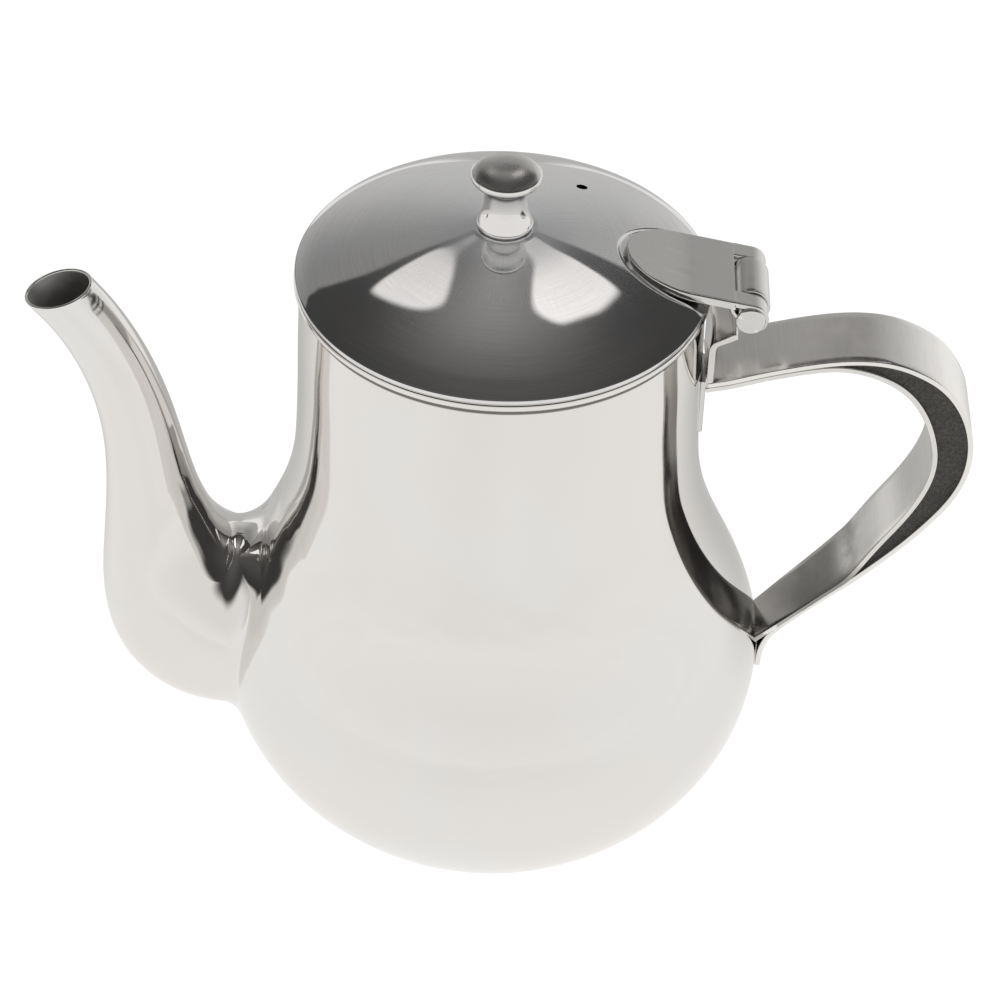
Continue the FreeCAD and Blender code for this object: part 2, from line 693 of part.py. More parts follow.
def make_handle(envelope):
    """Outer strap, inner strap and the core between them."""
    outer_blank = strap_blank("outer_strap_blank", GRIP_OUTSIDE, -1)
    inner_blank = strap_blank("inner_strap_blank", GRIP_INSIDE, 1)
    taper = make_taper()
    leg_face = cylinder("leg_face", "bracket_face", 60, 90)

    def trimmed(name, blank):
        tapered = combine("Common", name + "_tapered", blank, taper)
        return combine("Cut", name + "_on_leg", tapered, leg_face)

    outer = combine("Cut", "handle_outer_strap", trimmed("outer_strap", outer_blank),
                    envelope)
    inner = combine("Cut", "inner_strap_less_outer", trimmed("inner_strap", inner_blank),
                    outer_blank)
    inner = combine("Cut", "inner_strap_trimmed", inner, envelope)
    grip = band("grip_blank", GRIP_OUTSIDE, GRIP_INSIDE, "core_wide")
    grip = combine("Cut", "grip_less_outer", grip, outer_blank)
    grip = combine("Cut", "grip_less_inner", grip, inner_blank)
    return [outer, feature("handle_inner_strap", largest(inner.Shape)),
            feature("handle_core", largest(grip.Shape))]


# ------------------------------------------------------------------ build and export
pot_envelope = make_envelope()
turned_lid = make_lid_turned()
pieces = [
    make_body_shell(),
    make_base_disc(),
    make_spout(),
    make_lid_shell(turned_lid),
    make_locating_ring(turned_lid),
    make_knob(),
    make_washer(),
    make_screw(),
    make_lid_leaf(turned_lid),
    make_hinge_pin(),
    make_bracket(pot_envelope),
    make_backing_plate(pot_envelope),
] + make_handle(pot_envelope)
doc.recompute()

failed = [o.Name for o in doc.Objects if "Invalid" in o.State or "Error" in o.State]
if failed:
    raise RuntimeError("failed objects: " + ", ".join(failed))
for piece in pieces:
    if piece.Shape.isNull() or not piece.Shape.isValid():
        raise RuntimeError("bad shape: " + piece.Label)
    if len(piece.Shape.Solids) != 1:
        raise RuntimeError("%s has %d solids" % (piece.Label, len(piece.Shape.Solids)))
os.makedirs("parts", exist_ok=True)
for piece in pieces:
    piece.Shape.exportStep("parts/%s.step" % piece.Label)
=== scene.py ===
"""A polished steel teapot with a hinged lid and a handle of two steel straps around a filler.

The pot stands on z = 0 with its axis on Z. The spout points to -X, the handle and the
hinge lie on +X, and the camera looks from -Y. Lengths are in millimetres up to the
materials and the stage, which are in metres.
"""
import math
import bpy
import bmesh
import numpy as np
from mathutils import Matrix, Vector


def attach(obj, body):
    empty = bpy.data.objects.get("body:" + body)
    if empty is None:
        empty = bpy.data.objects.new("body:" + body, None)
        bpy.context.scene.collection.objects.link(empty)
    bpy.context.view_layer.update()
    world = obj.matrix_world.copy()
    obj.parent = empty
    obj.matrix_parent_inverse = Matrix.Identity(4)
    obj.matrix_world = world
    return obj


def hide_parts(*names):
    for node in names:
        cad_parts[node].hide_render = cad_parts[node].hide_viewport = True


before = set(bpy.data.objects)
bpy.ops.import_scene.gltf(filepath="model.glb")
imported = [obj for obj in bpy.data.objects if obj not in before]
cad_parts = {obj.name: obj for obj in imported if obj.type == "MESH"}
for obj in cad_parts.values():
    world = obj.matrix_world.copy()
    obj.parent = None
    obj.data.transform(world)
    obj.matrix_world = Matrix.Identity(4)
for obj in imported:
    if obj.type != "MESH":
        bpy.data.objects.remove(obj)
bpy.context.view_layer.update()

MM = 0.001
scene = bpy.context.scene


# ------------------------------------------------------------------ curves
def lengths_along(points):
    """Distance travelled at each point of a polyline."""
    return np.r_[0, np.cumsum(np.sqrt((np.diff(points, axis=0) ** 2).sum(1)))]


class Spline:
    """Natural cubic spline; its parameter is chord length unless one is given."""

    def __init__(self, points, knots=None):
        self.points = np.array(points, float)
        self.knots = lengths_along(self.points) if knots is None else knots
        count = len(self.knots)
        gap = np.diff(self.knots)
        slope = np.diff(self.points, axis=0) / gap[:, None]
        system = np.zeros((count, count))
        target = np.zeros(self.points.shape)
        system[0, 0] = system[-1, -1] = 1
        for i in range(1, count - 1):
            system[i, i - 1:i + 2] = gap[i - 1], 2 * (gap[i - 1] + gap[i]), gap[i]
            target[i] = 6 * (slope[i] - slope[i - 1])
        self.curvature = np.linalg.solve(system, target)

    def __call__(self, where):
        i = np.clip(np.searchsorted(self.knots, where, side="right") - 1, 0, len(self.knots) - 2)
        gap = self.knots[i + 1] - self.knots[i]
        a = ((self.knots[i + 1] - where) / gap)[..., None]
        b = ((where - self.knots[i]) / gap)[..., None]
        bend = (a ** 3 - a) * self.curvature[i] + (b ** 3 - b) * self.curvature[i + 1]
        return a * self.points[i] + b * self.points[i + 1] + bend * gap[..., None] ** 2 / 6

    def sample(self, count):
        return self(np.linspace(0, self.knots[-1], count))


def smoothstep(x, start, end):
    t = np.clip((x - start) / (end - start), 0, 1)
    return t * t * (3 - 2 * t)


def arc(centre_x, centre_z, radius, start, end, count):
    """Points on a circular arc; the angles are in degrees."""
    return [(centre_x + radius * math.cos(a), centre_z + radius * math.sin(a))
            for a in np.radians(np.linspace(start, end, count))]


def left_normals(points):
    """Unit vectors to the left of travel."""
    tangent = np.gradient(points, axis=0)
    tangent /= np.linalg.norm(tangent, axis=1)[:, None]
    return np.c_[-tangent[:, 1], tangent[:, 0]]


def interp_2d(where, knots, points):
    return np.stack([np.interp(where, knots, points[:, c]) for c in (0, 1)], -1)


# ------------------------------------------------------------------ meshes
# A solid is a pair (vertices, faces).
def new_mesh(name, solid):
    vertices, faces = solid
    mesh = bpy.data.meshes.new(name)
    mesh.from_pydata((np.array(vertices, float) * MM).tolist(), [],
                     [list(map(int, face)) for face in faces])
    mesh.validate()
    bm = bmesh.new()
    bm.from_mesh(mesh)
    bmesh.ops.remove_doubles(bm, verts=bm.verts, dist=1e-7)
    bmesh.ops.recalc_face_normals(bm, faces=bm.faces)
    bm.to_mesh(mesh)
    bm.free()
    return mesh


def link_object(name, data):
    ob = bpy.data.objects.new(name, data)
    scene.collection.objects.link(ob)
    return ob


def make(name, solid, body, material, replaced, sharp=None):
    """Smooth-shaded piece in place of a CAD node; edges over sharp degrees stay crisp."""
    mesh = new_mesh(name, solid)
    mesh.shade_smooth()
    if sharp:
        mesh.set_sharp_from_angle(angle=math.radians(sharp))
    mesh.materials.append(material)
    ob = link_object(name, mesh)
    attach(ob, body)
    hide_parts(replaced)
    return ob


def cut(ob, name, solid):
    """Subtract a solid from an object."""
    tool = link_object(name, new_mesh(name, solid))
    modifier = ob.modifiers.new("cut", "BOOLEAN")
    modifier.operation = "DIFFERENCE"
    modifier.solver = "EXACT"
    modifier.object = tool
    depsgraph = bpy.context.evaluated_depsgraph_get()
    result = bpy.data.meshes.new_from_object(ob.evaluated_get(depsgraph))
    ob.modifiers.remove(modifier)
    before = ob.data
    ob.data = result
    result.name = ob.name
    bpy.data.meshes.remove(before)
    bpy.data.objects.remove(tool)


def steps(count, wrap):
    """Neighbouring pairs of indices."""
    return [(k, (k + 1) % count) for k in range(count if wrap else count - 1)]


def quads(rows, cols, wrap_rows=False, wrap_cols=False):
    """Faces of a grid whose vertices are numbered row by row."""
    return [(r * cols + c, r * cols + c2, r2 * cols + c2, r2 * cols + c)
            for r, r2 in steps(rows, wrap_rows) for c, c2 in steps(cols, wrap_cols)]


def ring_faces(rings, count, closed):
    """Faces between rings of vertex numbers; a ring of one vertex is a pole."""
    faces = []
    for here, there in steps(len(rings), closed):
        a, b = rings[here], rings[there]
        for k, k2 in steps(count, True):
            if len(a) == 1:
                faces.append((a[0], b[k], b[k2]))
            elif len(b) == 1:
                faces.append((a[k], b[0], a[k2]))
            else:
                faces.append((a[k], b[k], b[k2], a[k2]))
    return faces


def turn(profile, count, axis="z", origin=(0, 0, 0)):
    """Solid of revolution from (radius, height) points.

    A profile that starts off the axis is closed on itself.
    """
    vertices, rings = [], []
    angles = np.linspace(0, 2 * math.pi, count, endpoint=False)
    for radius, height in profile:
        first = len(vertices)
        if radius < 1e-6:
            vertices.append((0, 0, height))
        else:
            vertices += [(radius * math.cos(a), radius * math.sin(a), height) for a in angles]
        rings.append(range(first, len(vertices)))
    vertices = np.array(vertices)
    if axis == "y":
        vertices = vertices[:, [0, 2, 1]]
    return vertices + np.array(origin), ring_faces(rings, count, profile[0][0] > 1e-6)


def rounded_rect(y_low, y_high, thick, radius, inset):
    """Loop of (y, depth) points; depth runs from 0 at the outer skin to -thick."""
    corner = max(radius - inset, 0.02)
    left, right = y_low + inset + corner, y_high - inset - corner
    top, bottom = -inset - corner, inset + corner - thick
    centres = [(right, top), (left, top), (left, bottom), (right, bottom)]
    arcs = [arc(*centre, corner, 90 * i, 90 * i + 90, 5) for i, centre in enumerate(centres)]
    loop = []
    for i, points in enumerate(arcs):
        loop += points
        if i in (0, 2):
            # extra points along the wide faces keep the shading even
            a, b = np.array(points[-1]), np.array(arcs[i + 1][0])
            loop += [tuple(a + (b - a) * k / 10) for k in range(1, 10)]
    return loop


def sweep(path, y_low, y_high, thick, radius=0.25, side=1, round_start=True, warp=None):
    """Flat strip whose outer skin follows an XZ path.

    The strip lies to the right of travel for side = 1 and to the left for side = -1.
    """
    path = np.array(path, float)
    normals = left_normals(path) * side
    along = lengths_along(path)
    end = along[-1]
    ease = [(radius * (1 - math.cos(a)), radius * (1 - math.sin(a)))
            for a in np.radians((0, 25, 50, 70))]
    # each row: distance along the path, inset of the section
    rows = ease + [(radius, 0.0)] if round_start else [(0.0, 0.0)]
    clear = radius * 1.3 if round_start else 1e-6
    rows += [(s, 0.0) for s in along if clear < s < end - radius * 1.3]
    rows += [(end - radius, 0.0)] + [(end - s, inset) for s, inset in reversed(ease)]
    vertices = []
    for s, inset in rows:
        x, z = interp_2d(s, along, path)
        normal = interp_2d(s, along, normals)
        normal_x, normal_z = normal / math.hypot(*normal)
        loop = rounded_rect(y_low, y_high, thick, radius, inset)
        vertices += [(x + normal_x * depth, y, z + normal_z * depth) for y, depth in loop]
    size, total = len(loop), len(vertices)
    faces = quads(len(rows), size, wrap_cols=True)
    faces += [tuple(range(size)), tuple(range(total - size, total))]
    vertices = np.array(vertices)
    return (warp(vertices) if warp else vertices), faces


def join(solids):
    faces, first = [], 0
    for part_vertices, part_faces in solids:
        faces += [tuple(i + first for i in face) for face in part_faces]
        first += len(part_vertices)
    return np.vstack([np.array(vertices) for vertices, _ in solids]), faces


def wrap_round(vertices, radius, weight=1.0):
    """Pull vertices towards -X so a flat strip follows an upright cylinder."""
    vertices[:, 0] -= weight * (radius - np.sqrt(radius * radius - vertices[:, 1] ** 2))
    return vertices


# ------------------------------------------------------------------ shader graphs
class Value:
    """A shader socket; arithmetic on it adds Math nodes."""

    def __init__(self, graph, socket):
        self.graph, self.socket = graph, socket

    def __add__(self, other):
        return self.graph.math("ADD", self, other)

    def __sub__(self, other):
        return self.graph.math("SUBTRACT", self, other)

    def __rsub__(self, other):
        return self.graph.math("SUBTRACT", other, self)

    def __mul__(self, other):
        return self.graph.math("MULTIPLY", self, other)

    def __pow__(self, other):
        return self.graph.math("POWER", self, other)

    def __abs__(self):
        return self.graph.math("ABSOLUTE", self)


class Graph:
    """Adds nodes to a node tree and wires them."""

    def __init__(self, tree):
        self.tree = tree
        tree.nodes.clear()

    def fill(self, node, inputs):
        """Link or set inputs, given as {name or index: value}."""
        for key, value in inputs.items():
            value = getattr(value, "socket", value)
            if isinstance(value, bpy.types.NodeSocket):
                self.tree.links.new(value, node.inputs[key])
            else:
                node.inputs[key].default_value = value

    def node(self, kind, inputs=None, **props):
        made = self.tree.nodes.new(kind)
        for name, value in props.items():
            setattr(made, name, value)
        self.fill(made, inputs or {})
        return made

    def value(self, kind, inputs=None, output=0, **props):
        return Value(self, self.node(kind, inputs, **props).outputs[output])

    def math(self, operation, *args):
        return self.value("ShaderNodeMath", dict(enumerate(args)), operation=operation)

    def vector(self, operation, *args):
        output = "Value" if operation in ("DOT_PRODUCT", "LENGTH") else "Vector"
        return self.value("ShaderNodeVectorMath", dict(enumerate(args)), output,
                          operation=operation)

    def coords(self, output="Object"):
        return self.value("ShaderNodeTexCoord", output=output)

    def split(self, vector):
        outputs = self.node("ShaderNodeSeparateXYZ", {0: vector}).outputs
        return [Value(self, socket) for socket in outputs]

    def combine(self, x, y, z):
        return self.value("ShaderNodeCombineXYZ", {0: x, 1: y, 2: z})

    def ramp(self, value, span, to=(0.0, 1.0), kind="SMOOTHSTEP"):
        """Map the range span of a value onto the range to."""
        return self.value("ShaderNodeMapRange", {
            "Value": value, "From Min": span[0], "From Max": span[1],
            "To Min": to[0], "To Max": to[1]}, interpolation_type=kind)

    def noise(self, vector, scale, detail, roughness):
        return self.value("ShaderNodeTexNoise", {
            "Vector": vector, "Scale": scale, "Detail": detail,
            "Roughness": roughness}, "Fac")

    def mix(self, factor, first, second):
        """Blend two colours, each a Value or an (r, g, b) tuple."""
        first, second = [c if isinstance(c, Value) else (*c, 1) for c in (first, second)]
        return self.value("ShaderNodeMix", {"Factor": factor, 6: first, 7: second}, 2,
                          data_type="RGBA")

    def bump(self, height, strength, distance, below=None):
        inputs = {"Height": height, "Strength": strength, "Distance": distance}
        if below:
            inputs["Normal"] = below
        return self.value("ShaderNodeBump", inputs)


# ------------------------------------------------------------------ materials
def new_material(name):
    material = bpy.data.materials.new(name)
    material.use_nodes = True
    g = Graph(material.node_tree)
    output = g.node("ShaderNodeOutputMaterial")
    shader = g.node("ShaderNodeBsdfPrincipled")
    g.fill(output, {"Surface": shader.outputs["BSDF"]})
    return material, g, shader, output


def polished(name, tint=(0.80, 0.79, 0.775), warm=(0.80, 0.775, 0.755), rough=0.035, painted_shade_z=None):
    """Mirror-polished steel; the last argument, if given, is the height of a dark line of painted
    shade under the rolled bead.
    """
    material, g, shader, _ = new_material(name)
    place = g.coords()
    blotch = g.noise(place, scale=26.0, detail=2.0, roughness=0.5)
    fine = g.noise(place, scale=900.0, detail=4.0, roughness=0.6)
    colour = g.mix(g.ramp(blotch, span=(0.42, 0.62)), tint, warm)
    if painted_shade_z:
        # painted shade: a dark line painted just under the rolled bead, where the crease lies in
        # shadow
        height = g.split(place)[2]
        painted_shade_line = g.ramp(abs(height - painted_shade_z), span=(0.00062, 0.00022), to=(0.0, 0.90))
        colour = g.mix(painted_shade_line, colour, (0.10, 0.095, 0.09))
    haze = g.noise(place, scale=60.0, detail=4.0, roughness=0.55)
    fine_share = 0.02
    roughness = g.ramp(haze, span=(0.35, 0.75), to=(rough, rough + 0.05)) + fine * fine_share
    ripple = g.noise(place, scale=34.0, detail=2.0, roughness=0.5)
    normal = g.bump(ripple, strength=0.5, distance=0.00002)
    # the sheet is slightly wavy where the spout was worked into the belly
    wave_centre, wave_y_squash = (-0.0555, 0.006, 0.074), 0.5
    x, y, z = g.split(place)
    mirrored = g.combine(x, abs(y) * wave_y_squash, z)
    away = g.vector("LENGTH", g.vector("SUBTRACT", mirrored, wave_centre))
    wave = g.noise(place, scale=105.0, detail=0.0, roughness=0.5)
    normal = g.bump(wave * g.ramp(away, span=(0.018, 0.007)), strength=1.0, distance=0.0013,
                    below=normal)
    g.fill(shader, {"Metallic": 1.0, "Base Color": colour, "Roughness": roughness,
                    "Normal": normal})
    return material


def satin(name, tint, rough, streaks="y", wear=True, painted_dark_z=None):
    """Brushed steel with streaks along one axis; wear brightens the edges."""
    material, g, shader, _ = new_material(name)
    place = g.coords()
    # noise scale across the streaks and along them
    scales = tuple(120.0 if axis == streaks else 3600.0 for axis in "xyz")
    stretched = g.value("ShaderNodeMapping", {"Vector": place, "Scale": scales})
    streak = g.noise(stretched, scale=1.0, detail=5.0, roughness=0.65)
    patch = g.noise(place, scale=130.0, detail=4.0, roughness=0.6)
    streak_share, patch_share, dark_ratio = 0.6, 0.4, 0.93
    grain = streak * streak_share + patch * patch_share
    dark = tuple(c * dark_ratio for c in tint)
    colour = g.mix(g.ramp(grain, span=(0.36, 0.64)), dark, tint)
    if painted_dark_z:
        # painted shade: a dark band painted on the lower part of the strap between the two heights,
        # standing in for a dark reflection
        low, high = painted_dark_z
        height = g.split(place)[2] + g.ramp(patch, span=(0.3, 0.7), to=(-0.0015, 0.0015))
        painted_dark_band = (g.ramp(height, span=(high, high - 0.006))
                * g.ramp(height, span=(low, low + 0.010), to=(0.42, 0.70)))
        colour = g.mix(painted_dark_band, colour, (0.085, 0.080, 0.074))
    if wear:
        pointiness = g.value("ShaderNodeNewGeometry", output="Pointiness")
        colour = g.mix(g.ramp(pointiness, span=(0.515, 0.60)), colour, (0.86, 0.845, 0.82))
    streak_rough = 0.10
    roughness = (g.ramp(patch, span=(0.3, 0.7), to=(rough - 0.04, rough + 0.05))
                 + streak * streak_rough)
    normal = g.bump(patch, strength=0.3, distance=0.000008)
    normal = g.bump(streak, strength=0.22, distance=0.000006, below=normal)
    g.fill(shader, {"Metallic": 1.0, "Base Color": colour, "Roughness": roughness,
                    "Normal": normal})
    return material


def lid_steel():
    """Polish with buffing rings, under a bluish haze that grows towards the knob."""
    material, g, shader, output = new_material("lid_buffed_steel")
    place = g.coords()
    x, y, _ = g.split(place)
    radius = g.math("SQRT", x * x + y * y)
    angle = g.math("ARCTAN2", y, x)
    # noise scales along the radius and round the axis
    ring_scales, ray_scales, ray_slice = (5200.0, 1.6), (110.0, 90.0), 3.0
    rings = g.noise(g.combine(radius * ring_scales[0], angle * ring_scales[1], 0.0),
                    scale=1.0, detail=5.0, roughness=0.7)
    rays = g.noise(g.combine(radius * ray_scales[0], angle * ray_scales[1], ray_slice),
                   scale=1.0, detail=3.0, roughness=0.6)
    patch = g.noise(place, scale=70.0, detail=4.0, roughness=0.6)
    colour = g.mix(g.ramp(rings, span=(0.35, 0.65)), (0.70, 0.70, 0.70), (0.79, 0.785, 0.78))
    colour = g.mix(g.ramp(patch, span=(0.4, 0.7), to=(0.0, 0.35)), colour, (0.72, 0.73, 0.75))
    ring_rough = 0.015
    roughness = g.ramp(rays, span=(0.3, 0.7), to=(0.018, 0.045)) + rings * ring_rough
    g.fill(shader, {"Metallic": 1.0, "Base Color": colour, "Roughness": roughness,
                    "Normal": g.bump(rings, strength=0.03, distance=0.000003)})
    haze_colour = g.mix(g.ramp(rays, span=(0.35, 0.65)), (0.68, 0.70, 0.73), (0.78, 0.79, 0.80))
    haze = g.node("ShaderNodeBsdfPrincipled", {
        "Metallic": 1.0, "Base Color": haze_colour, "Roughness": 0.36})
    amount = (g.ramp(radius, span=(0.036, 0.012), to=(0.05, 0.34))
              * g.ramp(rays, span=(0.25, 0.75), to=(0.88, 1.12)))
    amount = amount + g.ramp(radius, span=(0.018, 0.008), to=(0.0, 0.42))
    mixed = g.node("ShaderNodeMixShader", {0: amount, 1: shader.outputs[0], 2: haze.outputs[0]})
    g.fill(output, {"Surface": mixed.outputs[0]})
    return material


def handle_filler():
    """Dark, grainy, pitted filler."""
    material, g, shader, _ = new_material("handle_filler")
    place = g.coords()
    grain = g.noise(place, scale=1500.0, detail=6.0, roughness=0.7)
    lump = g.noise(place, scale=260.0, detail=4.0, roughness=0.6)
    cells = g.value("ShaderNodeTexVoronoi", {"Vector": place, "Scale": 1900.0}, "Distance")
    pits = g.ramp(cells, span=(0.0, 0.35))
    colour = g.mix(g.ramp(grain, span=(0.35, 0.65)), (0.040, 0.037, 0.034),
                   (0.088, 0.082, 0.076))
    colour = g.mix(g.ramp(lump, span=(0.45, 0.7), to=(0.0, 0.6)), colour, (0.060, 0.057, 0.054))
    normal = g.bump(pits, strength=0.4, distance=0.00006)
    g.fill(shader, {
        "Base Color": colour, "Metallic": 0.0, "Specular IOR Level": 0.35,
        "Roughness": g.ramp(lump, span=(0.3, 0.7), to=(0.62, 0.82)),
        "Normal": g.bump(grain, strength=0.55, distance=0.00012, below=normal)})
    return material


# the body's steel carries a line of painted shade under the rolled bead
BODY_STEEL = polished("polished_steel_mirror", painted_shade_z=0.1372)
SPOUT_STEEL = polished("polished_steel_spout", rough=0.03)
BORE_STEEL = satin("spout_bore_steel", (0.74, 0.735, 0.72), rough=0.42, streaks="z", wear=False)
KNOB_STEEL = polished("polished_steel_knob", tint=(0.78, 0.775, 0.765), warm=(0.78, 0.76, 0.75))
KNOB_TOP_STEEL = satin("knob_top_buffed_steel", (0.70, 0.69, 0.675), rough=0.23, wear=False)
LID_STEEL = lid_steel()
HINGE_STEEL = satin("hinge_satin_steel", (0.70, 0.69, 0.675), rough=0.11, streaks="x")
STRAP_STEEL = satin("strap_satin_steel", (0.87, 0.855, 0.835), rough=0.10)
# painted shade: the strap that faces the pot gets a darker copy of the strap steel, with a painted
# dark band low down
STRAP_IN_SHADED_STEEL = satin("strap_inner_shaded_satin_steel", (0.78, 0.765, 0.745), rough=0.10,
                       painted_dark_z=(0.050, 0.072))
FASTENER_STEEL = satin("fastener_plain_steel", (0.62, 0.62, 0.62), rough=0.28, streaks="z",
                       wear=False)
RING_STEEL = satin("ring_satin_steel", (0.68, 0.675, 0.67), rough=0.22, streaks="z", wear=False)
BASE_STEEL = satin("base_spun_steel", (0.68, 0.675, 0.665), rough=0.22, wear=False)
FILLER = handle_filler()

# ------------------------------------------------------------------ body
WALL = 0.8
BELLY_R, BELLY_Z = 59.5, 41.6          # widest point
BELLY_DROP, BELLY_POWER = 50.9, 1.94   # superellipse below it
BASE_HOLE_R = 32.0


def belly_radius(z):
    return BELLY_R * (1 - ((BELLY_Z - z) / BELLY_DROP) ** BELLY_POWER) ** (1 / BELLY_POWER)


# (radius, z) up the outer skin
BODY_CURVE = Spline(
    [(33.5, 0.0), (35.9, 1.05)]
    + [(belly_radius(z), z) for z in (3.2, 7, 12, 18, 24.5, 31, 36.5)]
    + [(BELLY_R, BELLY_Z), (58.9, 47.5), (57.0, 54.0), (54.3, 60.4), (51.3, 66.9), (48.6, 73.3),
       (46.3, 79.8), (44.6, 86.3), (43.5, 92.7), (42.95, 99.2), (42.7, 105.6),
       (42.5, 114.2), (42.4, 122.8), (42.2, 131.4), (42.1, 137.9)])
SKIN = BODY_CURVE.sample(6000)
SKIN_SLOPE = np.gradient(SKIN[:, 0]) / np.gradient(SKIN[:, 1])


def skin_radius(z):
    return np.interp(z, SKIN[:, 1], SKIN[:, 0])


def body_profile():
    foot = [(33.1, 0.0), (33.3, 0.03)]
    outer = [tuple(p) for p in BODY_CURVE.sample(230) if p[1] > 0.12]
    bead = arc(42.2, 138.85, 0.95, -92, 96, 22)
    bead_inside = arc(43.956, 137.9, 2.656, 134.3, 178, 8)
    wall = SKIN + WALL * left_normals(SKIN)
    wall = wall[wall[:, 1] > WALL + 0.5]
    along = lengths_along(wall)
    count = int(round(along[-1] / 1.1)) + 1
    wall = interp_2d(np.linspace(0, along[-1], count), along, wall)[::-1]
    inner = [tuple(p) for p in wall if p[1] < 137.6]
    low_r = inner[-1][0]
    flange = [(low_r - 0.35, WALL + 0.12), (low_r - 0.9, WALL), (BASE_HOLE_R + 0.1, WALL),
              (BASE_HOLE_R, WALL - 0.1), (BASE_HOLE_R, 0.1), (BASE_HOLE_R + 0.1, 0.0)]
    return foot + outer + bead + bead_inside + inner + flange


body = make("teapot_body", turn(body_profile(), 320), "pot", BODY_STEEL,
            "body_shell", sharp=38)

# strainer rosette behind the spout: one hole and two rings of holes
HOLE_R, HOLE_PITCH, ROSETTE_Z = 1.75, 6.0, 47.0
HOLE_SIDES = 28
DRILL_X = (-66.0, -48.0)


def drill_rod(y, z):
    angles = [2 * math.pi * k / HOLE_SIDES for k in range(HOLE_SIDES)]
    vertices = [(x, y + HOLE_R * math.cos(a), z + HOLE_R * math.sin(a))
                for x in DRILL_X for a in angles]
    caps = [tuple(range(HOLE_SIDES - 1, -1, -1)), tuple(range(HOLE_SIDES, 2 * HOLE_SIDES))]
    return vertices, quads(2, HOLE_SIDES, wrap_cols=True) + caps


holes = [(0.0, ROSETTE_Z)]
for ring, hole_count, start_degrees in ((1, 6, 30), (2, 12, 0)):
    for k in range(hole_count):
        a = math.radians(360 / hole_count * k + start_degrees)
        reach = ring * HOLE_PITCH
        holes.append((reach * math.cos(a), ROSETTE_Z + reach * math.sin(a)))
cut(body, "drill", join([drill_rod(*hole) for hole in holes]))

# ------------------------------------------------------------------ spout
# from the mouth down: x, z of the edge away from the pot, x, z of the edge towards it,
# half width along y
SPOUT_SECTIONS = np.array([
    (-102.55, 133.85, -91.45, 142.45, 7.00), (-100.81, 131.64, -89.86, 140.13, 6.92),
    (-98.52, 128.86, -87.74, 137.22, 6.82), (-96.23, 126.09, -85.62, 134.31, 6.74),
    (-93.26, 121.88, -81.90, 129.38, 6.81), (-90.75, 117.39, -78.47, 123.97, 6.97),
    (-88.66, 112.67, -75.53, 118.33, 7.15), (-86.98, 107.77, -73.05, 112.53, 7.38),
    (-85.70, 102.73, -70.97, 106.62, 7.64), (-84.83, 97.62, -69.25, 100.65, 7.96),
    (-84.33, 92.42, -67.85, 94.77, 8.38), (-84.16, 87.14, -66.60, 89.13, 8.92),
    (-84.24, 81.78, -65.34, 83.79, 9.60), (-84.52, 76.36, -63.96, 78.87, 10.5),
    (-84.93, 70.88, -62.37, 74.50, 11.8), (-85.39, 65.35, -60.58, 70.85, 13.3),
    (-85.83, 59.43, -58.68, 68.03, 15.1), (-85.89, 52.29, -56.83, 66.02, 17.0),
    (-84.07, 41.89, -55.00, 64.90, 18.9), (-79.08, 33.05, -53.20, 64.30, 20.1),
    (-69.56, 25.91, -51.00, 64.00, 20.8), (-58.67, 23.45, -48.50, 64.00, 20.9),
    (-46.00, 23.00, -44.50, 64.00, 20.9)])
SPOUT_WALL, LIP = 0.7, 0.35
BORE_START = 0.35                        # the bore ends this far inside the body skin
ROOT_CENTRE = np.array([-58.0, 0, 44.0])
SHEET_ROWS, SPOUT_COLS = 1500, 208
TUBE_ROWS, FILLET_ROWS, SKIRT_ROWS, HIDDEN_ROWS, BORE_ROWS, LIP_ROWS = 170, 16, 5, 6, 120, 6
SKIRT_STEP, SKIRT_SINK = 0.22, 0.012
HIDDEN_LIFT = -0.4                       # the band inside the body wall
ROW_NUMBERS = np.arange(SHEET_ROWS)

# the mouth is cut by a plane through this line, across y
MOUTH_LINE = np.array([(-99.4, 130.1), (-84.9, 133.9)])
mouth_dx, mouth_dz = MOUTH_LINE[1] - MOUTH_LINE[0]
MOUTH_UP = np.array([-mouth_dz, 0, mouth_dx]) / math.hypot(mouth_dx, mouth_dz)

edge_steps = np.diff(SPOUT_SECTIONS, axis=0)
section_gaps = 0.5 * (np.hypot(edge_steps[:, 0], edge_steps[:, 1])
                      + np.hypot(edge_steps[:, 2], edge_steps[:, 3])) + 0.4
SPOUT_SPLINE = Spline(SPOUT_SECTIONS, np.r_[0, np.cumsum(section_gaps)])


def spout_sheet(inset):
    """Grid of points on the spout's elliptical sections, row by row from the mouth."""
    stations = SPOUT_SPLINE.sample(SHEET_ROWS)
    away, near, half_width = stations[:, 0:2], stations[:, 2:4], stations[:, 4:5] - inset
    centre = (away + near) / 2
    axis = away - near
    length = np.linalg.norm(axis, axis=1)[:, None]
    axis = axis / length
    half_length = length / 2 - inset
    around = np.linspace(0, 2 * math.pi, SPOUT_COLS, endpoint=False)
    x, z = [centre[:, c:c + 1] + axis[:, c:c + 1] * half_length * np.cos(around) for c in (0, 1)]
    return np.stack([x, half_width * np.sin(around), z], -1)


def first_crossing(field):
    """Fractional row where each column first changes sign."""
    rows = []
    for column in field.T:
        i = np.where((column[:-1] > 0) != (column[1:] > 0))[0][0]
        rows.append(i + column[i] / (column[i] - column[i + 1]))
    return rows


def sheet_point(sheet, col, row):
    low = int(min(max(math.floor(row), 0), len(sheet) - 2))
    t = row - low
    return sheet[low, col] * (1 - t) + sheet[low + 1, col] * t


def above_mouth(points):
    x, z = points[..., 0] - MOUTH_LINE[0, 0], points[..., 2] - MOUTH_LINE[0, 1]
    return x * MOUTH_UP[0] + z * MOUTH_UP[2]


def outside_body(points):
    return np.hypot(points[..., 0], points[..., 1]) - skin_radius(points[..., 2])


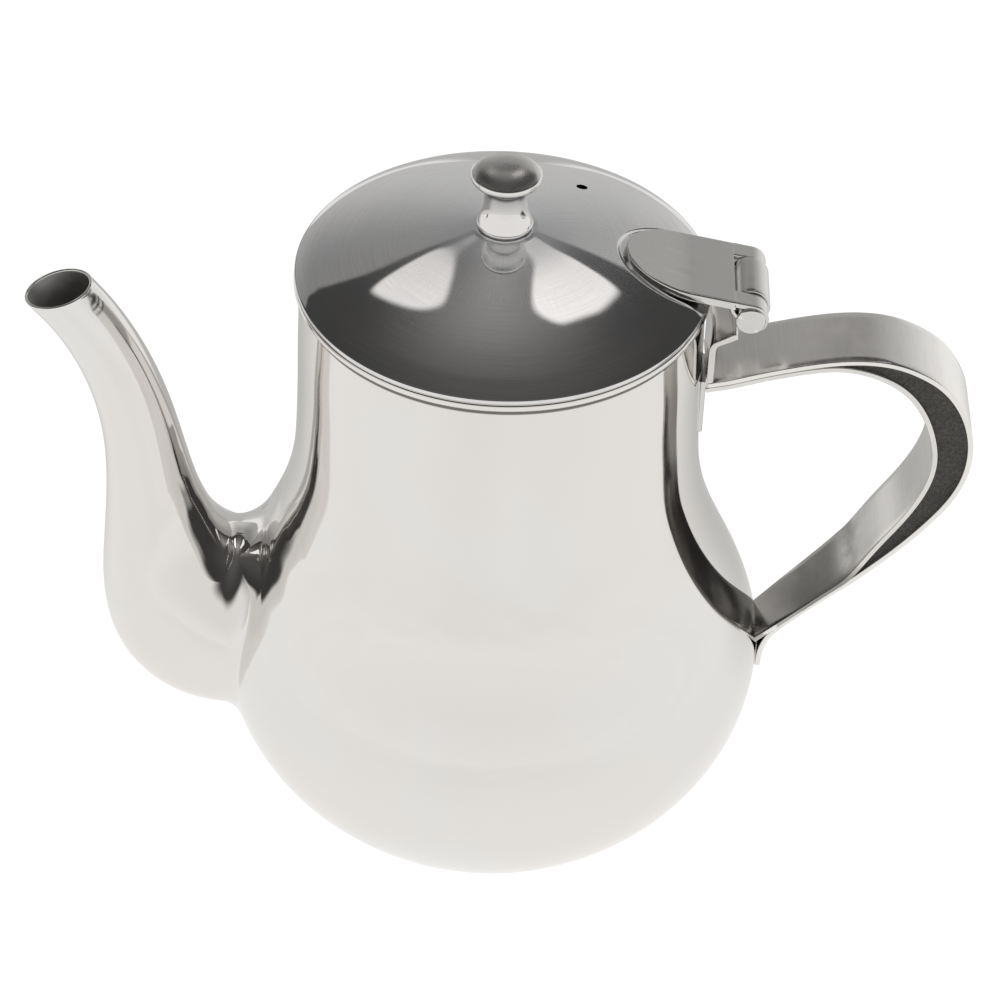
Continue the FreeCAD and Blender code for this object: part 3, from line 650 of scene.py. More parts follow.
def to_body(point, lift=0.0):
    """Move a point level with itself onto the body skin, plus lift."""
    x, y, z = point
    scale = (skin_radius(z) + lift) / np.hypot(x, y)
    return np.array([x * scale, y * scale, z])


def unit(vectors):
    return vectors / np.linalg.norm(vectors, axis=-1, keepdims=True)


outer_sheet, bore_sheet = spout_sheet(0.0), spout_sheet(SPOUT_WALL)
outer_mouth, bore_mouth = [first_crossing(above_mouth(s) + LIP) for s in (outer_sheet, bore_sheet)]
outer_joint = first_crossing(outside_body(outer_sheet))
bore_joint = first_crossing(outside_body(bore_sheet) + BORE_START)
# the loop where spout and body meet, and the directions away from it along the body
JOINT = np.array([sheet_point(outer_sheet, j, outer_joint[j]) for j in range(SPOUT_COLS)])
joint_tangent = unit(np.roll(JOINT, -1, axis=0) - np.roll(JOINT, 1, axis=0))
joint_x, joint_y, joint_z = JOINT.T
joint_r = np.hypot(joint_x, joint_y)
body_normal = unit(np.stack([joint_x / joint_r, joint_y / joint_r,
                             -np.interp(joint_z, SKIN[:, 1], SKIN_SLOPE)], -1))
AWAY = unit(np.cross(joint_tangent, body_normal))
AWAY *= np.sign(((JOINT - ROOT_CENTRE) * AWAY).sum(1))[:, None]
# the fillet reaches further in the crotch above the spout
crotch = smoothstep(joint_z, 50.0, 64.0)
REACH_BODY = 3.6 + 3.4 * crotch
REACH_SPOUT = 3.4 + 3.6 * crotch
row_steps = np.linalg.norm(np.diff(outer_sheet, axis=0), axis=2)
ROW_LENGTHS = np.vstack([np.zeros(SPOUT_COLS), np.cumsum(row_steps, axis=0)])


def spout_column(j):
    """Closed loop: down the outside, over the fillet, inside the wall, up the bore, the lip."""
    lengths = ROW_LENGTHS[:, j]

    def on_outside(length):
        return sheet_point(outer_sheet, j, np.interp(length, lengths, ROW_NUMBERS))

    def beyond(distance):
        return JOINT[j] + AWAY[j] * (REACH_BODY[j] + distance)

    joint = np.interp(outer_joint[j], ROW_NUMBERS, lengths)
    mouth = np.interp(outer_mouth[j], ROW_NUMBERS, lengths)
    fillet = joint - REACH_SPOUT[j]
    points = [on_outside(mouth + (fillet - mouth) * t) for t in np.linspace(0, 1, TUBE_ROWS)]

    # fillet: a Bezier whose handles keep the bend close to circular
    start, end = points[-1], to_body(beyond(0.0))
    start_dir = unit(on_outside(fillet + 0.5) - on_outside(fillet - 0.5))
    end_dir = unit(to_body(beyond(0.3)) - end)
    bend = math.acos(np.clip(np.dot(start_dir, end_dir), -1, 1))
    handle = np.linalg.norm(end - start) / (3 * math.cos(bend / 4) ** 2)
    control_a, control_b = start + start_dir * handle, end - end_dir * handle
    for k in range(1, FILLET_ROWS + 1):
        t = k / FILLET_ROWS
        points.append((1 - t) ** 3 * start + 3 * (1 - t) ** 2 * t * control_a
                      + 3 * (1 - t) * t * t * control_b + t ** 3 * end)

    # skirt that sinks into the body
    points += [to_body(beyond(SKIRT_STEP * k), -SKIRT_SINK * k * k / SKIRT_ROWS)
               for k in range(1, SKIRT_ROWS + 1)]
    skirt_end = beyond(SKIRT_STEP * SKIRT_ROWS)
    bore_end = sheet_point(bore_sheet, j, bore_joint[j])
    for k in range(HIDDEN_ROWS + 1):
        t = k / (HIDDEN_ROWS + 1)
        points.append(to_body(skirt_end * (1 - t) + bore_end * t, HIDDEN_LIFT))

    points += [sheet_point(bore_sheet, j, row)
               for row in np.linspace(bore_joint[j], bore_mouth[j], BORE_ROWS)]
    middle, half = (points[-1] + points[0]) / 2, (points[0] - points[-1]) / 2
    for k in range(1, LIP_ROWS + 1):
        t = math.pi * k / (LIP_ROWS + 1)
        rise = MOUTH_UP * np.linalg.norm(half) * math.sin(t)
        points.append(middle - half * math.cos(t) + rise)
    return points


columns = np.array([spout_column(j) for j in range(SPOUT_COLS)])
loop_size = columns.shape[1]
spout = make("teapot_spout",
             (columns.reshape(-1, 3), quads(SPOUT_COLS, loop_size, wrap_rows=True, wrap_cols=True)),
             "pot", SPOUT_STEEL, "spout")
spout.data.materials.append(BORE_STEEL)
bore_last = loop_size - LIP_ROWS - 1
bore_first = bore_last - BORE_ROWS
for polygon in spout.data.polygons:
    loop_rows = [v % loop_size for v in polygon.vertices]
    in_bore = min(loop_rows) >= bore_first and max(loop_rows) <= bore_last
    polygon.material_index = 1 if in_bore else 0

# ------------------------------------------------------------------ lid
LID_R, LID_Z, LID_EDGE_ROUND = 43.0, 140.0, 0.28
KNOB_SEAT_R, KNOB_SEAT_Z = 6.5, 152.4
KNOB_HOLE_R = 2.25
LID_CURVE = Spline([             # (radius, z) from the rim to the knob seat
    (LID_R, 140.75), (42.0, 141.42), (40.5, 142.27), (37.3, 143.62), (31.0, 145.82),
    (25.0, 147.63), (19.5, 149.15), (14.0, 150.57), (10.0, 151.54), (KNOB_SEAT_R, KNOB_SEAT_Z)])
LID_SKIN = LID_CURVE.sample(3000)[::-1]

# hinge leaf outline: straight sides from LEAF_X outwards, a half ellipse inwards
LEAF_X, LEAF_TIP, LEAF_HALF_W = 38.0, 13.0, 10.5
SEAT_DEPTH, SEAT_MARGIN = 0.55, 1.55

LID_ANGLES = np.radians(np.r_[np.arange(-34, 34, 0.22), np.arange(34, 326, 1.0)])


def lid_height(radius):
    return np.where(radius < KNOB_SEAT_R, KNOB_SEAT_Z,
                    np.interp(radius, LID_SKIN[:, 0], LID_SKIN[:, 1]))


def seat_depth(x, y):
    """Depth of the recess pressed into the lid around the hinge leaf."""
    length, half_w = LEAF_TIP + SEAT_MARGIN, LEAF_HALF_W + SEAT_MARGIN
    inward = np.minimum(x - LEAF_X, 0.0)
    rho = np.sqrt((inward / length) ** 2 + (y / half_w) ** 2) + 1e-9
    slope_x, slope_y = inward / length ** 2 / rho, y / half_w ** 2 / rho
    outside = (rho - 1) / np.sqrt(slope_x ** 2 + slope_y ** 2 + 1e-12)
    outside = np.where(x < 10, 50.0, outside)    # no recess away from the hinge
    return SEAT_DEPTH * (1 - smoothstep(outside, -0.32, 0.28))


def lid_circle(radius):
    x, y = radius * np.cos(LID_ANGLES), radius * np.sin(LID_ANGLES)
    return x, y, seat_depth(x, y)


def lid_solid():
    rings = []
    edge_r = LID_R - LID_EDGE_ROUND
    for radius in np.r_[KNOB_HOLE_R, 3.5, 5.0, 6.2, np.arange(6.8, 42.5, 0.2),
                        42.55, 42.65, edge_r]:
        x, y, dip = lid_circle(radius)
        rings.append(np.c_[x, y, lid_height(radius) - dip])
    for a in np.radians((70, 50, 30, 10, 0)):    # round the upper edge
        x, y, dip = lid_circle(edge_r + LID_EDGE_ROUND * math.cos(a))
        top = lid_height(edge_r) - dip
        fall = np.minimum(LID_EDGE_ROUND, top - (LID_Z + 0.18))
        rings.append(np.c_[x, y, top - fall * (1 - math.sin(a))])
    for radius, rise in ((LID_R, 0.16), (42.95, 0.04), (42.84, 0.0), (42.2, 0.0), (41.9, 0.02)):
        x, y, _ = lid_circle(radius)
        rings.append(np.c_[x, y, np.full_like(x, LID_Z + rise)])
    for radius in np.r_[41.75, np.arange(41.0, 23.0, -0.5), np.arange(22.5, 7.0, -1.2),
                        6.2, 4.0, KNOB_HOLE_R]:
        x, y, dip = lid_circle(radius)
        rings.append(np.c_[x, y, np.maximum(lid_height(radius) - WALL - dip, LID_Z + 0.03)])
    count = len(LID_ANGLES)
    numbers = [range(i * count, (i + 1) * count) for i in range(len(rings))]
    return np.vstack(rings), ring_faces(numbers, count, closed=True)


lid = make("teapot_lid", lid_solid(), "lid", LID_STEEL, "lid_shell", sharp=40)
VENT_R, VENT_X, VENT_Y = 1.2, 15.813, 22.087
VENT_LOW, VENT_HIGH = 142.1, 153.3
cut(lid, "vent", turn([(0, VENT_LOW), (VENT_R, VENT_LOW), (VENT_R, VENT_HIGH), (0, VENT_HIGH)],
                      37, origin=(VENT_X, VENT_Y, 0)))

# ------------------------------------------------------------------ knob
# (radius, height above the lid)
KNOB_BORE_R, KNOB_TOP = 2.05, 15.55
KNOB_BORE = [(0.0, 11.0), (KNOB_BORE_R, 10.2), (KNOB_BORE_R, 0.0)]
KNOB_FOOT = [(5.50, 0.0), (5.60, 0.05), (5.62, 0.15), (5.62, 0.38), (5.68, 0.47), (5.77, 0.52),
             (5.80, 0.60), (5.80, 0.98), (5.78, 1.06), (5.74, 1.11)]
KNOB_NECK = Spline([(5.68, 1.15), (5.50, 1.75), (5.22, 2.6), (4.86, 3.7), (4.58, 5.0), (4.42, 6.5),
                    (4.42, 8.0), (4.66, 9.4), (5.20, 10.5), (6.05, 11.3), (6.85, 11.7)])
KNOB_RIM = [(7.05, 11.80), (7.18, 11.93), (7.24, 12.08), (7.25, 12.20), (7.25, 12.88),
            (7.23, 13.02), (7.17, 13.13), (7.07, 13.24)]
KNOB_DOME = Spline([(6.95, 13.35), (6.2, 14.0), (4.6, 14.8), (2.5, 15.35), (0.0, KNOB_TOP)])
knob_profile = (KNOB_BORE + KNOB_FOOT + [tuple(p) for p in KNOB_NECK.sample(46)] + KNOB_RIM
                + [tuple(p) for p in KNOB_DOME.sample(34)[:-1]] + [(0.0, KNOB_TOP)])
knob = make("teapot_knob", turn(knob_profile, 160, origin=(0, 0, KNOB_SEAT_Z)), "lid",
            KNOB_STEEL, "knob", sharp=50)
knob.data.materials.append(KNOB_TOP_STEEL)
for polygon in knob.data.polygons:
    if polygon.center.z > (KNOB_SEAT_Z + 13.3) * MM:
        polygon.material_index = 1

# ------------------------------------------------------------------ hinge pin
PIN_X, PIN_Z, PIN_R = 50.95, 138.3, 2.4
PIN_HEAD = [(0.0, 11.3), (1.2, 11.3), (2.1, 11.28), (2.55, 11.22), (2.85, 11.11), (3.02, 10.96),
            (3.09, 10.80), (3.1, 10.62), (3.06, 10.53), (2.98, 10.5), (PIN_R, 10.5)]  # radius, y
pin_profile = ([(radius, -y) for radius, y in PIN_HEAD]
               + [(PIN_R, y) for y in np.linspace(-10.0, 10.0, 12)] + PIN_HEAD[::-1])
make("hinge_pin_rod", turn(pin_profile, 96, axis="y", origin=(PIN_X, 0, PIN_Z)), "lid",
     HINGE_STEEL, "hinge_pin", sharp=60)

# ------------------------------------------------------------------ hinge leaf
EAR_THICK = 1.25
EAR_R = PIN_R + EAR_THICK
OUTER_SLOPE, INNER_SLOPE = 0.20, 0.30         # fall of the leaf on either side of its bend
LEAF_BEND_X, LEAF_BEND_HALF = 37.3, 2.0
outer_tilt = math.atan(OUTER_SLOPE)
EAR_TANGENT_X = PIN_X + EAR_R * math.sin(outer_tilt)
LEAF_BEND_Z = (PIN_Z + EAR_R * math.cos(outer_tilt)
               + OUTER_SLOPE * (EAR_TANGENT_X - LEAF_BEND_X))
LEAF_THICK = 1.78                             # sheet plus the seat in the lid
LEAF_END_X = 47.6
LEAF_EDGE_R = 0.42
UNDER_INSET = 0.06
EAR_INNER_Y = 6.1
# each row across the leaf: x of its centre, angle on the rounded tip
LEAF_ROWS = [(LEAF_X, a) for a in np.radians(
    (1.2, 3, 6, 10, 15, 21, 28, 36, 45, 54, 63, 72, 81, 90))]
LEAF_ROWS += [(x, math.pi / 2) for x in np.linspace(38.6, LEAF_END_X, 15)]
LEAF_ACROSS = np.linspace(-1, 1, 45)


def leaf_top(x):
    inner, outer = [LEAF_BEND_Z + slope * (LEAF_BEND_X - x) for slope in (INNER_SLOPE, OUTER_SLOPE)]
    w = smoothstep(x, LEAF_BEND_X - LEAF_BEND_HALF, LEAF_BEND_X + LEAF_BEND_HALF)
    return inner * (1 - w) + outer * w


def dimple(x, y):
    """Two small round dents, each with a raised ring."""
    rise = 0.0
    for dent_y in (-3.8, 3.8):
        away = np.hypot(x - 36.0, y - dent_y)
        rise += 0.03 * np.exp(-((away - 1.35) / 0.35) ** 2) - 0.10 * np.exp(-(away / 0.85) ** 2)
    return rise


def leaf_plate():
    rows, cols = len(LEAF_ROWS), len(LEAF_ACROSS)
    last_row, last_col = rows - 1, cols - 1
    vertices, faces = [], quads(rows, cols)

    def add(row, col, inset, lift, dented=False):
        centre_x, angle = LEAF_ROWS[row]
        x = centre_x - (LEAF_TIP - inset) * math.cos(angle)
        y = LEAF_ACROSS[col] * (LEAF_HALF_W - inset) * math.sin(angle)
        vertices.append((x, y, leaf_top(x) + lift + (dimple(x, y) if dented else 0.0)))
        return len(vertices) - 1

    for i in range(rows):
        for k in range(cols):
            add(i, k, LEAF_EDGE_R, 0.0, dented=True)
    # the edge: down the +y side, round the tip, back up the -y side
    border = [(i, last_col) for i in range(last_row, -1, -1)]
    border += [(0, k) for k in range(last_col - 1, -1, -1)]
    border += [(i, 0) for i in range(1, rows)]
    layers = [(LEAF_EDGE_R * (1 - math.cos(a)), -LEAF_EDGE_R * (1 - math.sin(a)))
              for a in np.radians((72, 54, 36, 18, 0))]
    layers += [(0.0, -LEAF_EDGE_R - (LEAF_THICK - LEAF_EDGE_R - 0.1) * t)
               for t in (0.25, 0.5, 0.75, 1.0)]
    layers.append((UNDER_INSET, -LEAF_THICK))
    loops = [[i * cols + k for i, k in border]]
    for inset, lift in layers:
        loops.append([add(i, k, inset, lift) for i, k in border])
        upper, lower = loops[-2:]
        faces += [(upper[q], upper[q2], lower[q2], lower[q]) for q, q2 in steps(len(border), False)]
    # underside
    under = dict(zip(border, loops[-1]))
    for i in range(rows):
        for k in range(cols):
            if (i, k) not in under:
                under[i, k] = add(i, k, UNDER_INSET, -LEAF_THICK)
    faces += [(under[i, k], under[i + 1, k], under[i + 1, k + 1], under[i, k + 1])
              for i in range(last_row) for k in range(last_col)]
    # flat end wall towards the pin
    top = [last_row * cols + k for k in range(cols)]
    bottom = [under[last_row, k] for k in range(last_col - 1, 0, -1)]
    right = [loop[0] for loop in loops[1:]]
    left = [loop[-1] for loop in loops[:0:-1]]
    faces.append(tuple(top + right + bottom + left))
    return vertices, faces


# two ears curl round the pin
ear_path = [(x, leaf_top(x)) for x in np.linspace(LEAF_END_X, EAR_TANGENT_X - 0.02, 12)]
ear_path += arc(PIN_X, PIN_Z, EAR_R, 90 - math.degrees(outer_tilt), -48, 40)
ears = [sweep(ear_path, y_low, y_high, EAR_THICK, radius=0.28, round_start=False)
        for y_low, y_high in ((-LEAF_HALF_W, -EAR_INNER_Y), (EAR_INNER_Y, LEAF_HALF_W))]
make("lid_hinge_plate", join([leaf_plate()] + ears), "lid", HINGE_STEEL,
     "lid_hinge_leaf", sharp=42)

# ------------------------------------------------------------------ hinge bracket
BRACKET_THICK, BRACKET_HALF_W = 1.5, 8.3
LEG_R, LEG_BOTTOM = 43.85, 117.7             # outer face of the leg on the neck
KNUCKLE_R = PIN_R + 0.06 + 0.85              # pin, clearance and sheet
TONGUE_THICK, TONGUE_HALF_W = 0.82, 5.9
ARM_SLOPE, ARM_END_X = 0.60, 48.4
BRACKET_BEND_R = 2.4
arm_tilt = math.atan(ARM_SLOPE)
arm_degrees = math.degrees(arm_tilt)
knuckle_x = PIN_X + KNUCKLE_R * math.sin(arm_tilt)
knuckle_z = PIN_Z - KNUCKLE_R * math.cos(arm_tilt)


def arm_points(start_x, end_x):
    return [(x, knuckle_z - ARM_SLOPE * (knuckle_x - x)) for x in np.linspace(start_x, end_x, 8)]


def leg_wrap(vertices):
    # the leg follows the round of the neck, the arm above it is flat
    return wrap_round(vertices, LEG_R, 1 - smoothstep(vertices[:, 2], 127.6, 132.2))


# the bend is tangent to the upright leg and the rising arm
bend_trim = BRACKET_BEND_R / math.tan((math.pi / 2 + arm_tilt) / 2)
leg_top = knuckle_z - ARM_SLOPE * (knuckle_x - LEG_R) - bend_trim
bracket_path = [(LEG_R, z) for z in np.linspace(LEG_BOTTOM, leg_top, 22)]
bracket_path += arc(LEG_R + BRACKET_BEND_R, leg_top, BRACKET_BEND_R, 180, 90 + arm_degrees, 14)[1:]
bracket_path += arm_points(LEG_R + bend_trim * math.cos(arm_tilt), ARM_END_X)[1:]
tongue_path = arm_points(ARM_END_X - 0.05, knuckle_x)
tongue_path += arc(PIN_X, PIN_Z, KNUCKLE_R, arm_degrees - 90, arm_degrees + 206, 76)[1:]
bracket = join([
    sweep(bracket_path, -BRACKET_HALF_W, BRACKET_HALF_W, BRACKET_THICK, radius=0.30,
          warp=leg_wrap),
    sweep(tongue_path, -TONGUE_HALF_W, TONGUE_HALF_W, TONGUE_THICK, radius=0.24,
          round_start=False)])
make("neck_hinge_bracket", bracket, "pot", HINGE_STEEL, "hinge_bracket", sharp=42)

# ------------------------------------------------------------------ backing plate
PLATE_R = 43.5
plate = sweep([(PLATE_R, z) for z in np.linspace(104.0, 117.6, 30)], -5.0, 5.0, 1.05, side=-1,
              warp=lambda vertices: wrap_round(vertices, PLATE_R))
make("neck_plate", plate, "pot", HINGE_STEEL, "neck_backing_plate", sharp=42)

# ------------------------------------------------------------------ handle
# (x, z) of the exposed face of each strap, from the neck to the foot
STRAP_OUT = Spline([
    (42.9, 119.48), (48.0, 120.95), (53.0, 122.65), (58.5, 124.3), (64.5, 125.85), (70.5, 126.95),
    (76.5, 127.3), (82.5, 126.5), (88.0, 124.3), (92.6, 121.2), (96.6, 116.4), (99.3, 110.5),
    (100.5, 103.8), (99.9, 96.6), (97.3, 89.6), (93.3, 83.2), (88.5, 76.9), (83.3, 71.0),
    (78.0, 65.4), (72.9, 60.0), (68.2, 54.9), (64.4, 50.4), (62.0, 46.4), (61.0, 42.6),
    (60.7, 38.6)])
STRAP_IN = Spline([
    (42.9, 117.09), (48.6, 118.7), (53.7, 120.4), (59.1, 122.0), (65.0, 123.45), (70.5, 124.15),
    (75.0, 123.6), (79.6, 122.0), (83.9, 119.3), (87.3, 115.5), (89.8, 110.8), (91.4, 105.8),
    (92.1, 100.6), (91.4, 95.0), (89.4, 89.4), (86.2, 83.3), (82.9, 77.9), (79.9, 72.6),
    (76.9, 67.5), (73.0, 62.8), (68.7, 58.0), (64.0, 52.8), (60.2, 48.6), (56.5, 44.7)])
STRAP_THICK, STRAP_HALF_W, STRAP_FOOT_HALF_W = 1.2, 8.5, 6.3
STRAP_START_X = 43.80
FOOT_WRAP_R = 60.0


def strap_shape(vertices):
    """Narrow the strap towards the foot and seat its top end on the bracket leg."""
    t = np.clip((vertices[:, 2] - 47.0) / 19.0, 0.0, 1.0)
    taper = t + 0.10 * np.sin(2 * math.pi * t) / math.pi
    half_w = STRAP_FOOT_HALF_W + (STRAP_HALF_W - STRAP_FOOT_HALF_W) * taper
    vertices[:, 1] *= half_w / STRAP_HALF_W
    near_neck = ((1 - smoothstep(vertices[:, 0], LEG_R, 49.0))
                 * smoothstep(vertices[:, 2], 100.0, 110.0))
    return wrap_round(vertices, LEG_R, near_neck)


def outer_strap_shape(vertices):
    vertices = strap_shape(vertices)
    return wrap_round(vertices, FOOT_WRAP_R, 1 - smoothstep(vertices[:, 2], 42.0, 52.0))


def strap(name, path, side, warp, material, replaced):
    solid = sweep(path, -STRAP_HALF_W, STRAP_HALF_W, STRAP_THICK, radius=0.30, side=side,
                  warp=warp)
    make(name, solid, "pot", material, replaced, sharp=42)


strap("handle_strap_outer", [p for p in STRAP_OUT.sample(260) if p[0] >= STRAP_START_X],
      1, outer_strap_shape, STRAP_STEEL, "handle_outer_strap")
# the inner strap stops where it runs into the outer one and the belly
strap("handle_strap_inner",
      [p for p in STRAP_IN.sample(230) if p[0] >= STRAP_START_X and (p[1] > 45.6 or p[0] > 70)],
      -1, strap_shape, STRAP_IN_SHADED_STEEL, "handle_inner_strap")

FILLER_HALF_W, FILLER_ROWS, FILLER_STRIPS = 7.7, 150, 10
FILLER_OVERLAP = 0.05                        # how far the filler reaches into each strap


def filler_edge(curve, side, start, end):
    """Run along a strap's hidden face between the points nearest to start and end."""
    points = curve.sample(1200)
    points = points + side * (STRAP_THICK - FILLER_OVERLAP) * left_normals(points)
    first, last = [int(np.argmin(np.hypot(*(points - near).T))) for near in (start, end)]
    where = first + (last - first) * np.linspace(0, 1, FILLER_ROWS)
    return interp_2d(where, np.arange(1200), points)


def filler_solid():
    outer = filler_edge(STRAP_OUT, -1, (60.5, 123.6), (78.6, 67.8))
    inner = filler_edge(STRAP_IN, 1, (60.5, 123.4), (77.7, 66.6))
    vertices, faces = [], []
    for i in range(FILLER_ROWS):
        for sign in (1, -1):
            for k in range(FILLER_STRIPS + 1):
                t = k / FILLER_STRIPS
                x, z = outer[i] * (1 - t) + inner[i] * t
                dish = 0.22 * (1 - (2 * t - 1) ** 2) + 0.10 * (1 - abs(2 * t - 1) ** 6)
                vertices.append((x, sign * (FILLER_HALF_W - dish), z))
    side = FILLER_STRIPS + 1                 # vertices in one side of a row
    row = 2 * side
    for i in range(FILLER_ROWS - 1):
        for k in range(FILLER_STRIPS):
            a = i * row + k
            b = a + side
            faces += [(a, a + 1, a + row + 1, a + row), (b, b + row, b + row + 1, b + 1)]
        for k in (0, FILLER_STRIPS):
            a = i * row + k
            b = a + side
            faces.append((a, a + row, b + row, b))
    for i in (0, FILLER_ROWS - 1):
        for k in range(FILLER_STRIPS):
            a = i * row + k
            b = a + side
            faces.append((a, b, b + 1, a + 1))
    return vertices, faces


make("handle_filler", filler_solid(), "pot", FILLER, "handle_core", sharp=45)

# ------------------------------------------------------------------ CAD pieces kept as they are
for node_name, steel in (("base_disc", BASE_STEEL), ("lid_locating_ring", RING_STEEL),
                         ("knob_washer", FASTENER_STEEL), ("knob_screw", FASTENER_STEEL)):
    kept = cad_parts[node_name]
    if len(kept.data.materials) == 0:
        kept.data.materials.append(steel)
    for material_slot in kept.material_slots:
        material_slot.material = steel


# ------------------------------------------------------------------ stage
def floor_material():
    """Glowing floor: plain white to the camera, softly shaded in reflections."""
    material, g, shader, output = new_material("pale_floor")
    g.fill(shader, {"Base Color": (0.03, 0.03, 0.03, 1), "Roughness": 0.9,
                    "Specular IOR Level": 0.0})
    glow = g.node("ShaderNodeEmission")
    to_camera = g.value("ShaderNodeLightPath", output="Is Camera Ray")
    place = g.value("ShaderNodeNewGeometry", output="Position")
    front_point, behind_dimming, camera_glow = (0.0, -0.42, 0.0), 0.44, 1.03
    far = g.vector("LENGTH", g.vector("SUBTRACT", place, front_point))
    soft = g.ramp(far, span=(0.05, 0.55), to=(0.90, 0.93))
    x, y, _ = g.split(place)
    behind = g.ramp(y, span=(0.0, 0.13)) * g.ramp(abs(x), span=(0.26, 0.08))
    soft = soft * (1.0 - behind * behind_dimming)
    grain = g.noise(place, scale=5.0, detail=2.0, roughness=0.5)
    soft = soft + g.ramp(grain, span=(0.3, 0.7), to=(-0.012, 0.012))
    g.fill(glow, {"Strength": soft * (1.0 - to_camera) + to_camera * camera_glow,
                  "Color": g.mix(to_camera, (1.0, 0.99, 0.972), (1.0, 1.0, 1.0))})
    both = g.node("ShaderNodeAddShader", {0: shader.outputs[0], 1: glow.outputs[0]})
    g.fill(output, {"Surface": both.outputs[0]})
    return material


FLOOR_HALF, FLOOR_Z = 3, -0.0002
floor_mesh = bpy.data.meshes.new("floor")
floor_mesh.from_pydata([(x * FLOOR_HALF, y * FLOOR_HALF, FLOOR_Z)
                        for x, y in ((-1, -1), (1, -1), (1, 1), (-1, 1))], [], [(0, 1, 2, 3)])
floor = link_object("floor", floor_mesh)
floor_mesh.materials.append(floor_material())

# ------------------------------------------------------------------ camera
CAMERA_PLACE = (0.0011309, -0.5956002, 0.5855161)
pitch, roll = math.radians(40.3877), math.radians(2.16715)
level_right = Vector((1, 0, 0))
level_up = Vector((0, math.sin(pitch), math.cos(pitch)))
backward = Vector((0, -math.cos(pitch), math.sin(pitch)))
camera_right = level_right * math.cos(roll) + level_up * math.sin(roll)
camera_up = -level_right * math.sin(roll) + level_up * math.cos(roll)
camera_data = bpy.data.cameras.new("camera")
camera_data.lens = 129.6
camera_data.sensor_width = 36.0
camera_data.clip_start = 0.01
camera_data.clip_end = 50
camera = link_object("camera", camera_data)
camera.matrix_world = (Matrix.Translation(CAMERA_PLACE)
                       @ Matrix((camera_right, camera_up, backward)).transposed().to_4x4())
scene.camera = camera

# ------------------------------------------------------------------ light
# windows of light overhead: directions whose outline is the window, and its strength
WINDOWS = [
    ([(-0.2919, 0.6645, 0.6879), (-0.3055, 0.6785, 0.6681), (-0.3506, 0.6308, 0.6922),
      (-0.3988, 0.5902, 0.7019), (-0.3587, 0.5124, 0.7803), (-0.2818, 0.4429, 0.8511),
      (-0.2101, 0.4245, 0.8807), (-0.2357, 0.5113, 0.8264)], 0.98),
    ([(0.2135, 0.529, 0.8213), (0.2856, 0.6581, 0.6967), (0.3296, 0.645, 0.6895),
      (0.3652, 0.6111, 0.7023), (0.3249, 0.4869, 0.8108), (0.2088, 0.3849, 0.899),
      (0.1214, 0.3885, 0.9134)], 1.18),
]
WINDOW_CORNER = 0.013                 # rounding of the windows' corners
WINDOW_EDGE = (-0.016, 0.004)         # soft edge, from dark to lit


def hull(corners):
    """Convex outline of a set of directions, in order, and their middle."""
    corners = [Vector(c).normalized() for c in corners]
    middle = sum(corners, Vector((0, 0, 0))).normalized()
    u = middle.cross(Vector((0, 0, 1))).normalized()
    v = middle.cross(u)
    flat = sorted((c.dot(u) / c.dot(middle), c.dot(v) / c.dot(middle), k)
                  for k, c in enumerate(corners))

    def chain(points):
        kept = []
        for q in points:
            while len(kept) > 1:
                o, a = kept[-2:]
                if (a[0] - o[0]) * (q[1] - o[1]) - (a[1] - o[1]) * (q[0] - o[0]) > 0:
                    break
                kept.pop()
            kept.append(q)
        return kept[:-1]

    return [corners[q[2]] for q in chain(flat) + chain(flat[::-1])], middle


def window(g, direction, corners):
    """1 inside a convex window, 0 outside."""
    outline, middle = hull(corners)
    total = None
    for i, i2 in steps(len(outline), True):
        normal = outline[i].cross(outline[i2]).normalized()
        if normal.dot(middle) < 0:
            normal = -normal
        term = g.math("EXPONENT", g.vector("DOT_PRODUCT", direction, tuple(normal))
                      * (-1.0 / WINDOW_CORNER))
        total = total + term if total else term
    inside = g.math("LOGARITHM", total, math.e) * -WINDOW_CORNER
    return g.ramp(inside, span=WINDOW_EDGE)


def blend(first, second, t):
    return first * (1.0 - t) + second * t


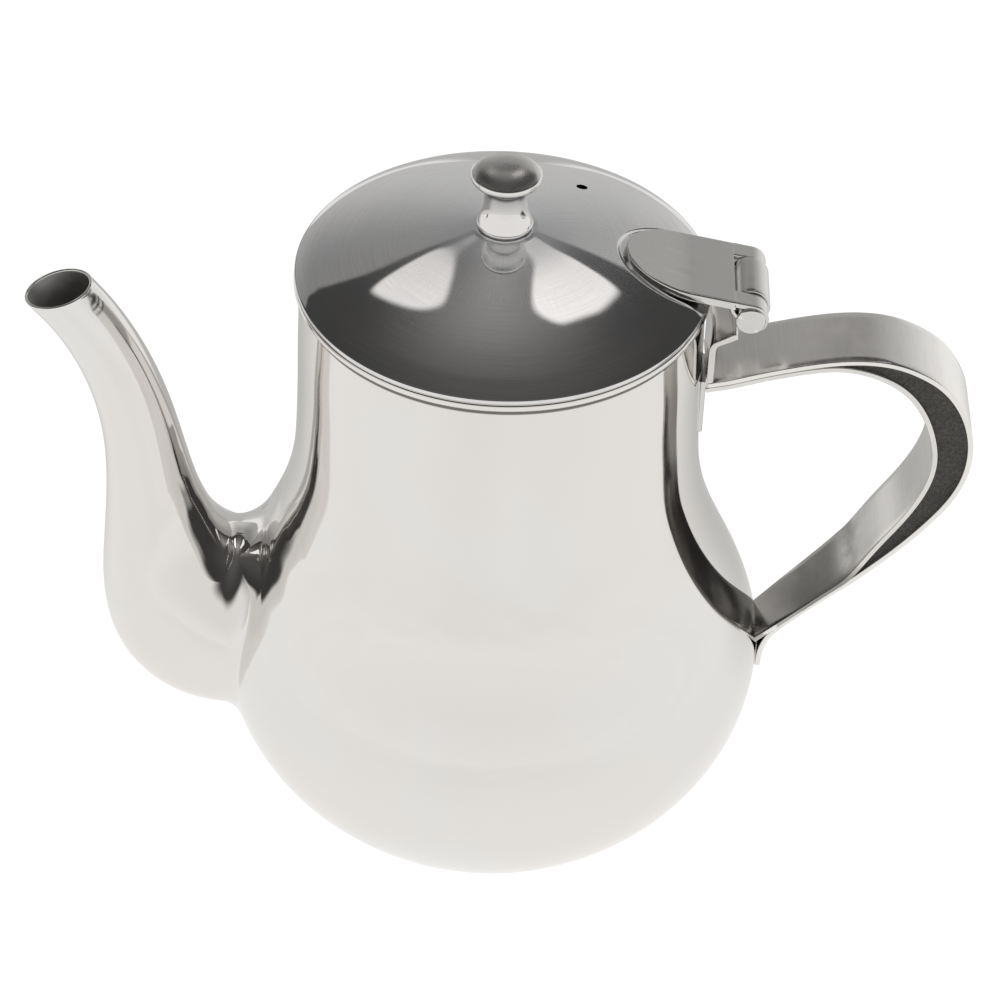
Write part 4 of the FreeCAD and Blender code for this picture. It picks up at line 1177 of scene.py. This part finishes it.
def build_world():
    """A light backdrop behind the pot, a pale front and a dark overhead with two windows."""
    world = bpy.data.worlds.new("studio")
    scene.world = world
    world.use_nodes = True
    g = Graph(world.node_tree)
    output = g.node("ShaderNodeOutputWorld")
    background = g.node("ShaderNodeBackground")
    g.fill(output, {"Surface": background.outputs[0]})
    direction = g.coords("Generated")
    x, y, z = g.split(direction)
    degrees = 180 / math.pi
    elevation = g.math("ARCSINE", z) * degrees
    azimuth = g.math("ARCTAN2", x, y) * degrees          # 0 is straight behind, towards +Y
    turned = abs(azimuth)
    back = g.ramp(turned, span=(115.0, 75.0))
    # elevation of the backdrop's upper edge, with a small step on either side
    right_step = g.ramp(azimuth, span=(0.0, 30.0), to=(0.0, 3.0))
    left_step = (g.ramp(azimuth, span=(-36.0, -43.0))
                 * g.ramp(azimuth, span=(-60.0, -48.0), to=(0.0, 3.0)))
    edge = g.ramp(turned, span=(28.0, 50.0), to=(39.5, 24.0)) - (right_step - left_step)
    above_back = g.ramp(elevation - edge, span=(-1.0, 1.2))
    above_front = g.ramp(elevation, span=(26.0, 40.0))
    backdrop = g.ramp(elevation, span=(3.0, 30.0), to=(0.62, 0.40))
    backdrop = backdrop * (g.ramp(azimuth, span=(-32.0, -6.0), to=(0.70, 1.0))
                           * g.ramp(azimuth, span=(8.0, 36.0), to=(1.0, 1.38)))
    front = g.ramp(elevation, span=(0.0, 16.0), to=(0.93, 0.86))
    top = g.ramp(elevation, span=(40.0, 85.0), to=(0.055, 0.105))
    light = blend(blend(front, top, above_front), blend(backdrop, top, above_back), back)
    # a broad glow high up behind the pot
    glow_centre, glow_power, glow_strength = (-0.03, 0.455, 0.890), 1.7, 0.36
    near = g.vector("DOT_PRODUCT", direction, glow_centre)
    away = g.math("SQRT", (1.0 - near) * 2.0)
    light = light + g.ramp(away, span=(0.42, 0.0), kind="LINEAR") ** glow_power * glow_strength
    overhead_tint = 1.0
    overhead = g.ramp(elevation, span=(30.0, 45.0)) * overhead_tint
    colour = g.mix(overhead, (1.0, 0.99, 0.975), (1.0, 0.97, 0.95))
    for corners, strength in WINDOWS:
        light = light + window(g, direction, corners) * strength
    lit = g.value("ShaderNodeVectorMath", {0: colour, "Scale": light}, operation="SCALE")
    g.fill(background, {"Color": lit, "Strength": 1.0})


build_world()

lamp_data = bpy.data.lights.new("soft_top", "AREA")
lamp_data.shape = "DISK"
lamp_data.size = 1.2
lamp_data.energy = 4.0
lamp = link_object("soft_top", lamp_data)
lamp.location = (-0.2, -0.3, 1.6)
lamp.rotation_euler = (math.radians(-12), math.radians(-8), 0)
lamp.visible_glossy = False
lamp.visible_camera = False

scene.view_settings.view_transform = "Standard"
scene.view_settings.look = "None"
scene.view_settings.exposure = 0.0
scene.view_settings.gamma = 1.0
